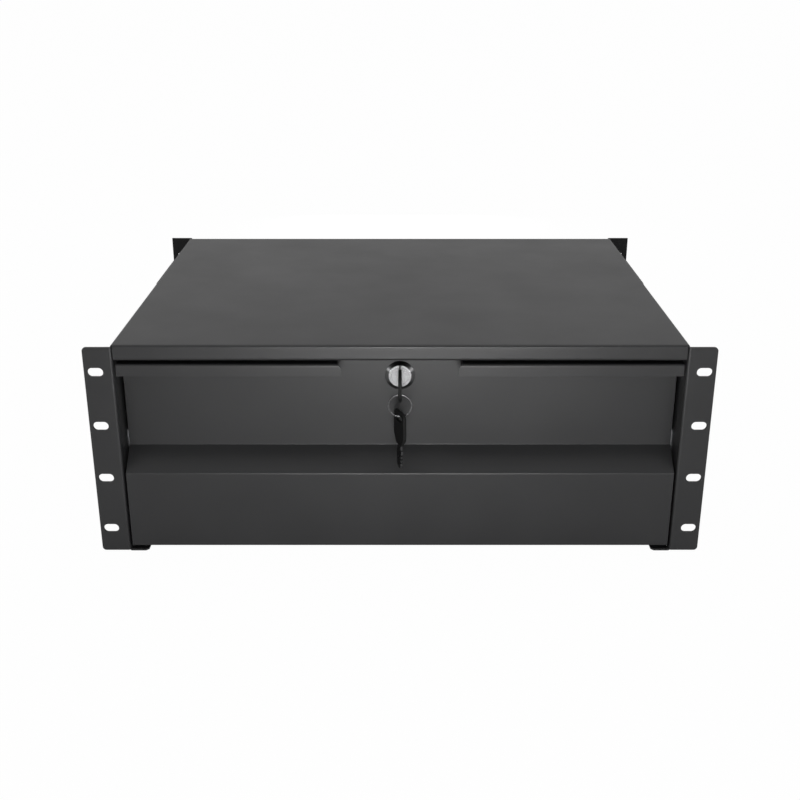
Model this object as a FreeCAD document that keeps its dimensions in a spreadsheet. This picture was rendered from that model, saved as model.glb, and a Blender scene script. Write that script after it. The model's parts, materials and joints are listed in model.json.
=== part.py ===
import FreeCAD
import Part
import Sketcher
import math
import os
from types import SimpleNamespace

# Rack drawer unit, four rack units high, in millimetres.
# X runs across, Y back into the rack, Z up. The origin is the middle of the front slot pattern,
# on the rear face of the two ears, where the ears meet the rack posts.
SIZES = {
    # rack standard
    "rack_unit": 44.45,          # pitch of the slots
    "rail_spacing": 465.1,       # between the slot columns
    "slot_to_edge": 8.75,        # slot column to the outer edge of an ear
    "slot_to_body": 12.55,       # slot column to the side wall's outer face
    "slot_margin": 20.0,         # lowest slot to the bottom of an ear
    "slot_long": 12.0,
    "slot_wide": 7.0,
    # outer shell
    "shell_height": 176.65,
    "shell_below": 1.65,         # bottom of an ear to the underside of the feet
    "shell_depth": 350.0,
    "shell_sheet": 1.5,
    "shell_bend": 0.5,           # inside bend radius
    "ear_corner": 3.0,
    "ear_root": 6.0,
    "ear_relief": 3.0,
    "ear_lap": 0.2,              # ear's bend into the feet and the top
    "header_drop": 12.5,
    "header_return": 8.0,        # header's lower edge turned in
    "header_end_gap": 0.3,
    "foot_width": 15.5,
    "foot_chamfer": 2.3,
    "rear_return": 14.0,
    # rear panel
    "panel_sheet": 1.2,
    "panel_edge": 2.5,           # panel edge inside the wall's inner face
    "panel_low": 6.0,
    "panel_stiffener": 12.0,
    "panel_corner": 2.0,
    "panel_play": 1.0,
    # rear brackets
    "bracket_sheet": 2.0,
    "bracket_start": 181.5,
    "bracket_overhang": 15.0,    # rack flange behind the shell's rear face
    "bracket_low": 1.4,
    "bracket_high": 172.0,
    "bracket_corner": 5.0,
    "rear_slot_long": 8.0,
    "adjust_slot_long": 110.0,
    "adjust_slot_wide": 5.6,
    "adjust_slot_low": 30.0,
    "adjust_slot_high": 143.0,
    # drawer front
    "drawer_sheet": 1.2,
    "drawer_bend": 0.8,
    "front_gap": 1.8,            # front edge to side wall
    "header_gap": 2.8,           # drawer front to header
    "front_low": 3.6,
    "front_foot": 40.0,
    "ledge_low": 68.5,
    "ledge_rise": 16.3,
    "recess_depth": 20.0,
    "lip_height": 9.7,
    "lip_gap": 90.0,             # gap in the lip for the lock and key
    "lip_slant": 3.0,
    "lock_drop": 15.8,           # top of the front to the lock's axis
    "stud_radius": 2.0,
    "stud_length": 7.5,
    "stud_inset": 16.0,
    "stud_low": 20.0,            # lower studs above the ledge
    "stud_drop": 13.2,           # upper studs below the tray's rim
    "stud_play": 0.2,
    # tray
    "tray_drop": 9.7,            # top of the front to the tray's rim
    "tray_rim": 8.0,
    "tray_rear_gap": 23.5,
    "notch_beside": 11.4,        # lock notch to the washer, at the sides and below
    "notch_below": 5.3,
    "notch_corner": 3.0,
    "rivet_radius": 1.6,
    "rivet_head": 3.0,
    "rivet_dome": 0.8,
    # telescopic slides
    "slide_height": 45.0,
    "slide_gauge": 1.2,
    "slide_level": 75.0,
    "slide_front_gap": 4.3,
    "slide_rear_gap": 24.5,
    "ball_radius": 2.0,
    "ball_play": 0.3,
    "slide_play": 0.4,
    "cage_plate": 0.5,
    "cage_arm": 0.8,
    "cage_play": 0.3,
    "pocket_play": 0.1,
    "access_radius": 5.0,
    # fasteners
    "screw_radius": 2.0,         # M4
    "screw_play": 0.05,
    "thin_head_radius": 3.6,
    "thin_head": 0.5,
    "thin_head_play": 0.1,
    "pan_head_radius": 3.6,
    "pan_head": 2.0,
    "screw_tail": 2.0,           # screw end past the last sheet
    "bolt_radius": 2.4,          # M5
    "bolt_play": 0.1,
    "bolt_head_radius": 4.7,
    "bolt_head": 2.2,
    "clinch_radius": 4.4,
    "clinch_height": 3.0,
    "nut_across": 7.0,
    "nut_height": 3.2,
    # lock
    "lock_flange": 11.7,
    "lock_rim": 0.6,
    "lock_face": 8.7,
    "lock_proud": 2.6,
    "plug_radius": 6.7,
    "plug_play": 0.1,
    "plug_proud": 0.1,
    "barrel_radius": 9.4,
    "barrel_length": 18.0,
    "barrel_play": 0.15,
    "lock_washer": 0.8,
    "washer_radius": 12.6,
    "lock_nut": 4.0,
    "lock_nut_across": 24.0,
    "keyway_high": 9.0,
    "keyway_wide": 1.9,
    "keyway_deep": 15.5,
    "plug_tail": 6.0,
    "tail_play": 0.05,
    "cam_sheet": 2.0,
    "cam_gap": 0.5,
    "cam_reach": 26.0,
    "cam_width": 12.0,
    "cam_hub": 8.0,
    "cam_corner": 3.0,
    "cam_screw_head": 4.2,
    "cam_screw_cap": 2.4,
    "cam_screw_grip": 3.0,
    # strike under the top
    "strike_half": 20.0,
    "strike_sheet": 2.0,
    "strike_low": 11.6,          # lower edge above the lock's axis
    "strike_gap": 0.8,           # strike to cam
    "strike_foot": 16.0,
    # keys and ring
    "key_sheet": 1.6,
    "blade_half": 4.2,
    "blade_length": 14.0,
    "blade_shoulder": 1.0,
    "tang_half": 3.2,
    "tang_in": 7.6,
    "bow_start": 5.4,
    "bow_length": 28.0,
    "bow_half": 10.0,
    "bow_neck": 5.0,
    "bow_taper": 7.0,
    "bow_thick": 2.6,
    "bow_round": 5.0,
    "hole_end": 6.0,             # ring hole's middle to the end of the bow
    "hole_long": 12.7,
    "hole_wide": 4.5,
    "tang_play": 0.05,
    "ring_radius": 8.8,
    "ring_wire": 0.6,
    "ring_play": 0.4,
    "spare_yaw": 22.0,           # degrees
}

UP = FreeCAD.Vector(0, 0, 1)
AXES = {"X": FreeCAD.Vector(1, 0, 0), "Y": FreeCAD.Vector(0, 1, 0), "Z": UP}
# Each drawing plane, and whether its normal runs along or against the axis.
PLANES = {"X": ("YZ_Plane", 1), "Y": ("XZ_Plane", -1), "Z": ("XY_Plane", 1)}
SIDES = {"left": -1, "right": 1}
# Peaks and cuts along a key blade, as parts of its length and of its half width, and the tip's corner.
KEY_BITS = [(0.15, 1.0), (0.28, 0.7), (0.38, 0.95), (0.52, 0.6),
            (0.62, 0.9), (0.74, 0.62), (0.84, 0.8), (1.0, 0.15)]
KEY_TIP = (0.84, 0.15)
TINY = 1e-6
OVERCUT = 1.0                    # how far a cutter runs past the metal

doc = FreeCAD.newDocument("rack_drawer")
sheet = doc.addObject("Spreadsheet::Sheet", "Sizes")
for row, (name, number) in enumerate(SIZES.items(), start=1):
    sheet.set(f"A{row}", name)
    sheet.set(f"B{row}", str(number))
    sheet.setAlias(f"B{row}", name)
doc.recompute()

nodes = []


class Size:
    """A length with its present value and the sheet expression that gives it."""

    def __init__(self, value, text):
        self.value = value
        self.text = text

    def __add__(self, other):
        other = as_size(other)
        return Size(self.value + other.value, f"({self.text} + {other.text})")

    def __sub__(self, other):
        other = as_size(other)
        return Size(self.value - other.value, f"({self.text} - {other.text})")

    def __mul__(self, other):
        other = as_size(other)
        return Size(self.value * other.value, f"({self.text} * {other.text})")

    def __truediv__(self, other):
        other = as_size(other)
        return Size(self.value / other.value, f"({self.text} / {other.text})")

    def __neg__(self):
        return Size(-self.value, f"(-1 * {self.text})")

    def __radd__(self, other):
        return as_size(other) + self

    def __rsub__(self, other):
        return as_size(other) - self

    def __rmul__(self, other):
        return as_size(other) * self

    def __rtruediv__(self, other):
        return as_size(other) / self


def as_size(item):
    """A plain number as a size."""
    if isinstance(item, Size):
        return item
    return Size(float(item), f"({float(item):.9f})")


def root(size):
    """Square root of a size."""
    size = as_size(size)
    return Size(math.sqrt(size.value), f"sqrt({size.text})")


def bind(item, prop, size):
    """Tie a property to the sheet."""
    item.setExpression(prop, as_size(size).text)


d = SimpleNamespace(**{name: Size(float(number), f"Sizes.{name}") for name, number in SIZES.items()})


def new_body(label):
    """An empty body that becomes one node."""
    body = doc.addObject("PartDesign::Body", label)
    body.Label = label
    nodes.append(body)
    return body


def sketch_at(body, name, axis, start):
    """A sketch across an axis at a distance from the origin."""
    role, way = PLANES[axis]
    sketch = body.newObject("Sketcher::SketchObject", name)
    plane = next(item for item in body.Origin.OriginFeatures if item.Role == role)
    sketch.AttachmentSupport = [(plane, "")]
    sketch.MapMode = "FlatFace"
    bind(sketch, "AttachmentOffset.Base.z", as_size(start) * way)
    return sketch


def pin(sketch, element, point, kind, size):
    """Hold one coordinate of a sketch point to the sheet."""
    index = sketch.addConstraint(Sketcher.Constraint(kind, element, point, size.value))
    bind(sketch, f"Constraints[{index}]", size)


def spot(point):
    """A sketch point as a vector."""
    return FreeCAD.Vector(point[0].value, point[1].value, 0)


def arc_between(start, end, centre, turn):
    """An arc of a circle and which of its ends comes first on the way round."""
    middle = spot(centre)
    first, last = spot(start) - middle, spot(end) - middle
    if turn < 0:
        first, last = last, first
    begin = math.atan2(first.y, first.x)
    finish = math.atan2(last.y, last.x)
    circle = Part.Circle(middle, UP, first.Length)
    return Part.ArcOfCircle(circle, begin, finish), (1, 2) if turn > 0 else (2, 1)


def trace(sketch, moves):
    """Draw a closed path. A move goes to a point, straight or round a centre in one turning sense."""
    moves = [(tuple(as_size(part) for part in point), centre, turn) for point, centre, turn in moves]
    chain = []
    for index, (end, centre, turn) in enumerate(moves):
        start = moves[index - 1][0]
        if (spot(end) - spot(start)).Length < TINY:
            continue
        if centre is None:
            shape, ends = Part.LineSegment(spot(start), spot(end)), (1, 2)
        else:
            centre = tuple(as_size(part) for part in centre)
            shape, ends = arc_between(start, end, centre, turn)
        element = sketch.addGeometry(shape, False)
        chain.append((element, ends, start, end, centre))
    for index, (element, ends, _, _, _) in enumerate(chain):
        after, after_ends, _, _, _ = chain[(index + 1) % len(chain)]
        sketch.addConstraint(Sketcher.Constraint("Coincident", element, ends[1], after, after_ends[0]))
    for element, ends, start, end, centre in chain:
        pin(sketch, element, ends[0], "DistanceX", start[0])
        pin(sketch, element, ends[0], "DistanceY", start[1])
        if centre is not None:
            chord = spot(end) - spot(start)
            if abs(chord.x) < abs(chord.y):
                pin(sketch, element, 3, "DistanceX", centre[0])
            else:
                pin(sketch, element, 3, "DistanceY", centre[1])


def heading(start, end):
    """Direction from one corner to another, in plain numbers where it follows an axis."""
    across, rise = as_size(end[0] - start[0]), as_size(end[1] - start[1])
    if abs(across.value) < TINY:
        return 0.0, math.copysign(1.0, rise.value)
    if abs(rise.value) < TINY:
        return math.copysign(1.0, across.value), 0.0
    span = root(across * across + rise * rise)
    return across / span, rise / span


def shifted(corner, way, distance):
    """A corner moved along a direction."""
    moved = []
    for start, part in zip(corner, way):
        still = isinstance(part, float) and part == 0.0
        moved.append(start if still else start + part * distance)
    return tuple(moved)


def rounded_moves(corners):
    """Moves round an outline. A corner with a third number is rounded to that radius."""
    corners = [tuple(as_size(part) for part in corner) for corner in corners]
    moves = []
    for index, corner in enumerate(corners):
        if len(corner) == 2:
            moves.append((corner, None, 0))
            continue
        point, radius = corner[:2], corner[2]
        back = heading(point, corners[index - 1])
        ahead = heading(point, corners[(index + 1) % len(corners)])
        facing = back[0] * ahead[0] + back[1] * ahead[1]
        reach, depth = radius, radius
        if isinstance(facing, Size):
            reach = radius * root((1 + facing) / (1 - facing))
            depth = radius / root(1 - facing * facing)
        middle = (back[0] + ahead[0], back[1] + ahead[1])
        first, last = shifted(point, back, reach), shifted(point, ahead, reach)
        centre = shifted(point, middle, depth)
        one, two = spot(first) - spot(centre), spot(last) - spot(centre)
        turn = 1 if one.x * two.y - one.y * two.x > 0 else -1
        moves.append((first, None, 0))
        moves.append((last, centre, turn))
    return moves


def slot_moves(x, y, long, wide, upright=False):
    """Moves round a slot with half-round ends."""
    half, radius = (as_size(long) - wide) / 2, as_size(wide) / 2
    if upright:
        low, high = (x, y - half), (x, y + half)
        return [((x + radius, y - half), low, 1), ((x + radius, y + half), None, 0),
                ((x - radius, y + half), high, 1), ((x - radius, y - half), None, 0)]
    near, far = (x - half, y), (x + half, y)
    return [((x + half, y - radius), None, 0), ((x + half, y + radius), far, 1),
            ((x - half, y + radius), None, 0), ((x - half, y - radius), near, 1)]


def ring(sketch, x, y, radius):
    """A circle held to the sheet."""
    x, y, radius = as_size(x), as_size(y), as_size(radius)
    element = sketch.addGeometry(Part.Circle(spot((x, y)), UP, radius.value), False)
    index = sketch.addConstraint(Sketcher.Constraint("Radius", element, radius.value))
    bind(sketch, f"Constraints[{index}]", radius)
    pin(sketch, element, 3, "DistanceX", x)
    pin(sketch, element, 3, "DistanceY", y)


def feature(body, kind, name, axis, start, length, paths, circles):
    """A pad or a pocket that runs from its start along the positive axis."""
    sketch = sketch_at(body, f"{name}_sketch", axis, start)
    for moves in paths:
        trace(sketch, moves)
    for circle in circles:
        ring(sketch, *circle)
    made = body.newObject(kind, name)
    made.Profile = sketch
    bind(made, "Length", length)
    along = PLANES[axis][1] > 0
    made.Reversed = along if kind.endswith("Pocket") else not along
    return made


def pad(body, name, axis, start, length, paths=(), circles=()):
    """Add metal from a start along an axis."""
    return feature(body, "PartDesign::Pad", name, axis, start, length, paths, circles)


def cut(body, name, axis, start, length, paths=(), circles=()):
    """Take metal away from a start along an axis."""
    return feature(body, "PartDesign::Pocket", name, axis, start, length, paths, circles)


def cut_through(body, name, axis, start, thick, paths=(), circles=()):
    """Cut right through a sheet that begins at a start."""
    return cut(body, name, axis, start - OVERCUT, thick + 2 * OVERCUT, paths, circles)


def turned(body, name, corners):
    """Turn an outline of length and radius about the body's Y axis."""
    sketch = sketch_at(body, f"{name}_sketch", "X", 0)
    trace(sketch, rounded_moves(corners))
    made = body.newObject("PartDesign::Revolution", name)
    made.Profile = sketch
    made.ReferenceAxis = (sketch, ["H_Axis"])
    made.Angle = 360
    return made


def put(item, x, y, z, rotation=None):
    """Stand an object at a point tied to the sheet."""
    item.Placement = FreeCAD.Placement(FreeCAD.Vector(), rotation or FreeCAD.Rotation())
    bind(item, "Placement.Base.x", x)
    bind(item, "Placement.Base.y", y)
    bind(item, "Placement.Base.z", z)
    return item


def rod(name, at, axis, radius, height, way=1):
    """A cylinder that stands on a point and runs along an axis."""
    item = doc.addObject("Part::Cylinder", name)
    bind(item, "Radius", radius)
    bind(item, "Height", height)
    return put(item, *at, FreeCAD.Rotation(UP, AXES[axis] * way))


def hexagon(name, at, axis, across, height):
    """A six-sided prism that stands on a point and runs along an axis."""
    item = doc.addObject("Part::Prism", name)
    item.Polygon = 6
    bind(item, "Circumradius", as_size(across) / math.sqrt(3))
    bind(item, "Height", height)
    return put(item, *at, FreeCAD.Rotation(UP, AXES[axis]))


def joined(name, pieces):
    """One solid from touching pieces."""
    item = doc.addObject("Part::MultiFuse", name)
    item.Shapes = pieces
    return item


def drilled(name, base, tool):
    """One solid with another taken out of it."""
    item = doc.addObject("Part::Cut", name)
    item.Base = base
    item.Tool = tool
    return item


def group(label, pieces):
    """Separate solids that share one node."""
    item = doc.addObject("Part::Compound", label)
    item.Label = label
    item.Links = pieces
    nodes.append(item)
    return item


# Lines that several pieces share.
out = d.rail_spacing / 2 - d.slot_to_body
inner = out - d.shell_sheet
ear_edge = d.rail_spacing / 2 + d.slot_to_edge
slot_column = d.rail_spacing / 2
ear_height = 3 * d.rack_unit + 2 * d.slot_margin
base = -1 * ear_height / 2
shell_low = base - d.shell_below
top = shell_low + d.shell_height
front = -1 * d.shell_sheet
rear = front + d.shell_depth
shell_fold = d.shell_bend + d.shell_sheet

front_top = top - d.header_drop - d.header_gap
front_half = inner - d.front_gap
ledge_low = base + d.ledge_low
ledge_high = ledge_low + d.ledge_rise
lip_low = front_top - d.lip_height
recess = front + d.recess_depth
recess_back = recess + d.drawer_sheet
front_low = base + d.front_low
lock_level = front_top - d.lock_drop
drawer_fold = d.drawer_bend + d.drawer_sheet

race = d.ball_radius + d.ball_play
race_back = race + d.slide_gauge
ball_one = (race_back, d.slide_height / 2 - race_back)
ball_step = (race + race_back) * math.sqrt(0.5)
ball_two = (ball_one[0] + ball_step, ball_one[1] - ball_step)
slide_depth = ball_two[0] + race_back + d.slide_play + d.slide_gauge
slide_level = base + d.slide_level
slide_start = recess_back + d.slide_front_gap
slide_length = rear - d.slide_rear_gap - slide_start
slide_holes = [slide_start + slide_length * part for part in (0.12, 0.5, 0.88)]

tray_half = inner - slide_depth
tray_low = front_low + d.drawer_sheet
tray_top = front_top - d.tray_drop
tray_rear = rear - d.tray_rear_gap
tray_inner = tray_half - d.drawer_sheet

slot_levels = [base + d.slot_margin + d.rack_unit * step for step in range(4)]
stud_spots = [(side * (tray_inner - d.stud_inset), level) for side in SIDES.values()
              for level in (ledge_high + d.stud_low, tray_top - d.stud_drop)]
rivet_depth = (recess_back + front + d.front_foot) / 2
rivet_spots = [(tray_half * part, rivet_depth) for part in (-0.8, -0.3, 0.3, 0.8)]

bracket_out = out + d.bracket_sheet
flange_start = rear + d.bracket_overhang
adjust_levels = [base + d.adjust_slot_low, base + d.adjust_slot_high]
adjust_middle = (d.bracket_start + rear) / 2
bolt_depths = [adjust_middle + d.adjust_slot_long * part for part in (-0.3, 0.3)]
bolt_spots = [(depth, level) for depth in bolt_depths for level in adjust_levels]
return_column = inner - d.rear_return / 2
panel_high = top - d.panel_low
panel_levels = [shell_low + d.shell_height * part for part in (0.12, 0.5, 0.88)]

lock_face = recess - d.lock_proud
cam_start = recess + d.barrel_length + d.plug_play + d.cam_gap
strike_back = cam_start - d.strike_gap
hole_depth = lock_face - d.bow_start - d.bow_length + d.hole_end
wire_top = lock_level - d.hole_long / 2 + d.ring_wire + d.ring_play
ring_level = wire_top - d.ring_radius
wire_low = ring_level - d.ring_radius


def make_shell():
    """Folded shell: top, walls with ears, header, inward feet and rear returns."""
    body = new_body("outer_shell")
    bend, fold, thick = d.shell_bend, shell_fold, d.shell_sheet
    walls = []
    roots = []
    ears = []
    feet = []
    chamfers = []
    for side in SIDES.values():
        turn_in = side * (inner - d.rear_return)
        walls.append(rounded_moves([
            (side * (out + d.ear_root), front), (side * inner, front, fold),
            (side * inner, rear - thick, bend), (turn_in, rear - thick), (turn_in, rear),
            (side * out, rear, fold), (side * out, 0, bend), (side * (out + d.ear_root), 0)]))
        roots.append(rounded_moves([
            (side * (out + d.ear_root), front), (side * inner, front, fold), (side * inner, bend + d.ear_lap),
            (side * out, bend + d.ear_lap), (side * out, 0, bend), (side * (out + d.ear_root), 0)]))
        root_x = side * (out + d.ear_relief)
        ears.append(rounded_moves([
            (root_x, base), (side * ear_edge, base, d.ear_corner),
            (side * ear_edge, base + ear_height, d.ear_corner), (root_x, base + ear_height)]))
        ears += [slot_moves(side * slot_column, level, d.slot_long, d.slot_wide) for level in slot_levels]
        foot = side * (out - d.foot_width)
        feet.append(rounded_moves([
            (side * out, shell_low + fold), (side * inner, shell_low + fold),
            (side * inner, shell_low + thick, bend), (foot, shell_low + thick), (foot, shell_low),
            (side * out, shell_low, fold)]))
        chamfers.append(rounded_moves([
            (foot, bend), (foot + side * d.foot_chamfer, bend), (foot, bend + d.foot_chamfer)]))
    pad(body, "walls", "Z", shell_low + fold, d.shell_height - 2 * fold, walls)
    pad(body, "ear_roots", "Z", base, ear_height, roots)
    pad(body, "top", "Y", bend, rear - bend, [rounded_moves([
        (out, top - fold), (out, top, fold), (-out, top, fold), (-out, top - fold),
        (-inner, top - fold), (-inner, top - thick, bend),
        (inner, top - thick, bend), (inner, top - fold)])])
    pad(body, "feet", "Y", bend, rear - bend, feet)
    reach = inner - d.header_end_gap
    header_low = top - d.header_drop
    pad(body, "header", "X", -reach, 2 * reach, [rounded_moves([
        (bend, top), (front, top, fold), (front, header_low, fold), (d.header_return, header_low),
        (d.header_return, header_low + thick), (0, header_low + thick, bend),
        (0, top - thick, bend), (bend, top - thick)])])
    pad(body, "ears", "Y", front, thick, ears)
    cut_through(body, "foot_chamfers", "Z", shell_low, thick, chamfers)
    screw = d.screw_radius + d.screw_play
    bolt = d.bolt_radius + d.bolt_play
    holes = [(depth, slide_level, screw) for depth in slide_holes]
    holes += [(depth, level, bolt) for depth, level in bolt_spots]
    cut_through(body, "wall_holes", "X", -out, 2 * out, circles=holes)
    holes = [(side * return_column, level, screw) for side in SIDES.values() for level in panel_levels]
    cut_through(body, "return_holes", "Y", rear - thick, thick, circles=holes)


def make_rear_panel():
    """Plate behind the rear returns with two stiffening folds between them."""
    body = new_body("rear_panel")
    thick, fold, bend = d.panel_sheet, d.panel_sheet + d.drawer_bend, d.drawer_bend
    low, high = base + d.panel_low, panel_high
    ahead = rear - d.panel_stiffener
    narrow = inner - d.rear_return - d.panel_play
    wide = inner - d.panel_edge
    pad(body, "folded", "X", -narrow, 2 * narrow, [rounded_moves([
        (ahead, low), (rear + thick, low, fold), (rear + thick, high, fold), (ahead, high),
        (ahead, high - thick), (rear, high - thick, bend),
        (rear, low + thick, bend), (ahead, low + thick)])])
    step, corner = fold + d.panel_play, d.panel_corner
    pad(body, "plate", "Y", rear, thick, [rounded_moves([
        (-wide, low + step, corner), (wide, low + step, corner),
        (wide, high - step, corner), (-wide, high - step, corner)])])
    holes = [(side * return_column, level, d.screw_radius + d.screw_play)
             for side in SIDES.values() for level in panel_levels]
    cut_through(body, "holes", "Y", rear, thick, circles=holes)


def make_rear_panel_screws():
    """Pan-head screws that hold the rear panel to the returns."""
    screws = []
    for side in SIDES.values():
        for level in panel_levels:
            spot_at = (side * return_column, rear + d.panel_sheet, level)
            head = rod("panel_head", spot_at, "Y", d.pan_head_radius, d.pan_head)
            grip = d.panel_sheet + d.shell_sheet + d.screw_tail
            shank = rod("panel_shank", spot_at, "Y", d.screw_radius, grip, -1)
            screws.append(joined("panel_screw", [head, shank]))
    group("rear_panel_screws", screws)


def make_bracket(name, side):
    """Rear support angle: slotted leg along the wall and a rack flange turned outward."""
    body = new_body(f"{name}_rear_bracket")
    bend, thick = d.shell_bend, d.bracket_sheet
    low, high = base + d.bracket_low, base + d.bracket_high
    end = flange_start + thick
    pad(body, "angle", "Z", low, high - low, [rounded_moves([
        (side * out, d.bracket_start), (side * out, end, bend + thick), (side * ear_edge, end),
        (side * ear_edge, flange_start), (side * bracket_out, flange_start, bend),
        (side * bracket_out, d.bracket_start)])])
    slots = [slot_moves(side * slot_column, level, d.rear_slot_long, d.slot_wide) for level in slot_levels]
    cut_through(body, "rack_slots", "Y", flange_start, thick, slots)
    leg_cuts = [slot_moves(adjust_middle, level, d.adjust_slot_long, d.adjust_slot_wide)
                for level in adjust_levels]
    begin, past = d.bracket_start, d.bracket_start - OVERCUT
    end = begin + d.bracket_corner
    for level, way in ((low, 1), (high, -1)):
        turn, beyond = level + way * d.bracket_corner, level - way * OVERCUT
        leg_cuts.append([((end, level), None, 0), ((begin, turn), (end, turn), -way),
                         ((past, turn), None, 0), ((past, beyond), None, 0), ((end, beyond), None, 0)])
    cut_through(body, "leg_cuts", "X", out if side > 0 else -bracket_out, thick, leg_cuts)


def make_bracket_fasteners():
    """Bolts through the adjusting slots and the clinch nuts inside the walls."""
    bolts = []
    nuts = []
    for side in SIDES.values():
        for depth, level in bolt_spots:
            seat = (side * bracket_out, depth, level)
            head = rod("bolt_head", seat, "X", d.bolt_head_radius, d.bolt_head, side)
            grip = d.bracket_sheet + d.shell_sheet + d.clinch_height
            shank = rod("bolt_shank", seat, "X", d.bolt_radius, grip, -side)
            bolts.append(joined("bolt", [head, shank]))
            wall = (side * inner, depth, level)
            barrel = rod("clinch_body", wall, "X", d.clinch_radius, d.clinch_height, -side)
            bore = rod("clinch_bore", wall, "X", d.bolt_radius + d.bolt_play, d.clinch_height, -side)
            nuts.append(drilled("clinch_nut", barrel, bore))
    group("bracket_bolts", bolts)
    group("bracket_clinch_nuts", nuts)


def make_strike():
    """Angle under the top that the lock's cam closes behind."""
    body = new_body("lock_strike")
    thick, bend = d.strike_sheet, d.shell_bend
    ceiling = top - d.shell_sheet
    low = lock_level + d.strike_low
    ahead = strike_back - d.strike_foot
    half = d.strike_half
    pad(body, "angle", "X", -half, 2 * half, [rounded_moves([
        (strike_back, low), (strike_back, ceiling, bend + thick), (ahead, ceiling),
        (ahead, ceiling - thick), (strike_back - thick, ceiling - thick, bend),
        (strike_back - thick, low)])])


def section_point(point, side, mirror):
    """A point of a slide's section, measured from the wall and from the slide's mid height."""
    return side * (inner - point[0]), slide_level + mirror * as_size(point[1])


def build_section(side, half):
    """Close a section from its upper half, given from the outside round to the inside."""
    moves = []
    for point, centre, turn in half:
        middle = None if centre is None else section_point(centre, side, 1)
        moves.append((section_point(point, side, 1), middle, turn * -side))
    for index in range(len(half) - 1, -1, -1):
        point = half[index][0]
        after = half[index + 1] if index + 1 < len(half) else None
        middle, turn = None, 0
        if after is not None and after[1] is not None:
            middle, turn = section_point(after[1], side, -1), after[2] * -side
        moves.append((section_point(point, side, -1), middle, turn))
    return moves


def polar(centre, radius, angle):
    """A point at an angle round a centre."""
    turn = math.radians(angle)
    return centre[0] + radius * math.cos(turn), centre[1] + radius * math.sin(turn)


def outer_half():
    """Upper half of the outer slide's section."""
    return [(polar(ball_one, race_back, 180), None, 0), (polar(ball_one, race_back, 0), ball_one, -1),
            (polar(ball_one, race, 0), None, 0), (polar(ball_one, race, 180), ball_one, 1)]


def middle_half():
    """Upper half of the middle slide's section, an S between the two rows of balls."""
    web = ball_one[0] - d.slide_gauge
    return [((web, ball_one[1] - race), None, 0), (polar(ball_one, race, 270), None, 0),
            (polar(ball_one, race, 315), ball_one, 1), (polar(ball_two, race_back, 20), ball_two, -1),
            (polar(ball_two, race, 20), None, 0), (polar(ball_two, race, 135), ball_two, 1),
            (polar(ball_one, race_back, 270), ball_one, -1)]


def inner_half():
    """Upper half of the inner slide's section, screwed to the tray."""
    web = slide_depth - d.slide_gauge
    return [((slide_depth, ball_two[1] - race), None, 0), (polar(ball_two, race, 270), None, 0),
            (polar(ball_two, race, 205), ball_two, -1), (polar(ball_two, race_back, 205), None, 0),
            (polar(ball_two, race_back, 270), ball_two, 1), ((web, ball_two[1] - race_back), None, 0)]


def make_slide(name, side):
    """Three-part telescopic slide of one side."""
    screw = d.screw_radius + d.screw_play
    start = inner - slide_depth if side > 0 else -inner
    outer = new_body(f"{name}_outer_slide")
    pad(outer, "rail", "Y", slide_start, slide_length, [build_section(side, outer_half())])
    holes = [(depth, slide_level, screw) for depth in slide_holes]
    cut(outer, "holes", "X", start, slide_depth, circles=holes)
    seat = d.thin_head + d.thin_head_play
    face = inner - d.slide_gauge if side > 0 else -inner + d.slide_gauge - seat
    head = d.thin_head_radius + d.thin_head_play
    seats = [(depth, slide_level, head) for depth in slide_holes]
    cut(outer, "seats", "X", face, seat, circles=seats)
    middle = new_body(f"{name}_middle_slide")
    pad(middle, "rail", "Y", slide_start, slide_length, [build_section(side, middle_half())])
    access = [(depth, slide_level, d.access_radius) for depth in slide_holes]
    cut(middle, "access", "X", start, slide_depth, circles=access)
    last = new_body(f"{name}_inner_slide")
    pad(last, "rail", "Y", slide_start, slide_length, [build_section(side, inner_half())])
    cut(last, "holes", "X", start, slide_depth, circles=holes)


def make_cage(name, side, row, centre, plate_start, plate):
    """Ball cage: a plate with two arms, and the balls that sit in them."""
    length, begin = slide_length / 2, slide_start + slide_length / 4
    label = f"{name}_{row}_ball_cage"
    body = doc.addObject("PartDesign::Body", f"{label}_strip")
    arm, tip = d.cage_arm / 2, centre[0] + d.ball_radius / 2
    edge = plate_start + plate
    half = [((plate_start, centre[1] + arm), None, 0), ((tip, centre[1] + arm), None, 0),
            ((tip, centre[1] - arm), None, 0), ((edge, centre[1] - arm), None, 0)]
    pad(body, "strip", "Y", begin, length, [build_section(side, half)])
    depths = [begin + length * part for part in (0.15, 0.85)]
    across = side * (inner - centre[0])
    holes = [(across, depth, d.ball_radius + d.pocket_play) for depth in depths]
    for mirror in (1, -1):
        start = slide_level + mirror * centre[1] - d.ball_radius
        cut(body, f"pockets_{mirror + 1}", "Z", start, 2 * d.ball_radius, circles=holes)
    pieces = [body]
    for mirror in (1, -1):
        for depth in depths:
            ball = doc.addObject("Part::Sphere", f"{label}_ball")
            bind(ball, "Radius", d.ball_radius)
            pieces.append(put(ball, across, depth, slide_level + mirror * centre[1]))
    group(label, pieces)


def make_cages(name, side):
    """Both ball cages of one slide."""
    gap = (ball_one[0] - 2 * d.slide_gauge - d.cage_plate) / 2
    make_cage(name, side, "outer", ball_one, d.slide_gauge + gap, d.cage_plate)
    plate = d.cage_plate * 0.8
    make_cage(name, side, "inner", ball_two, ball_one[0] + d.cage_play, plate)


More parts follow.
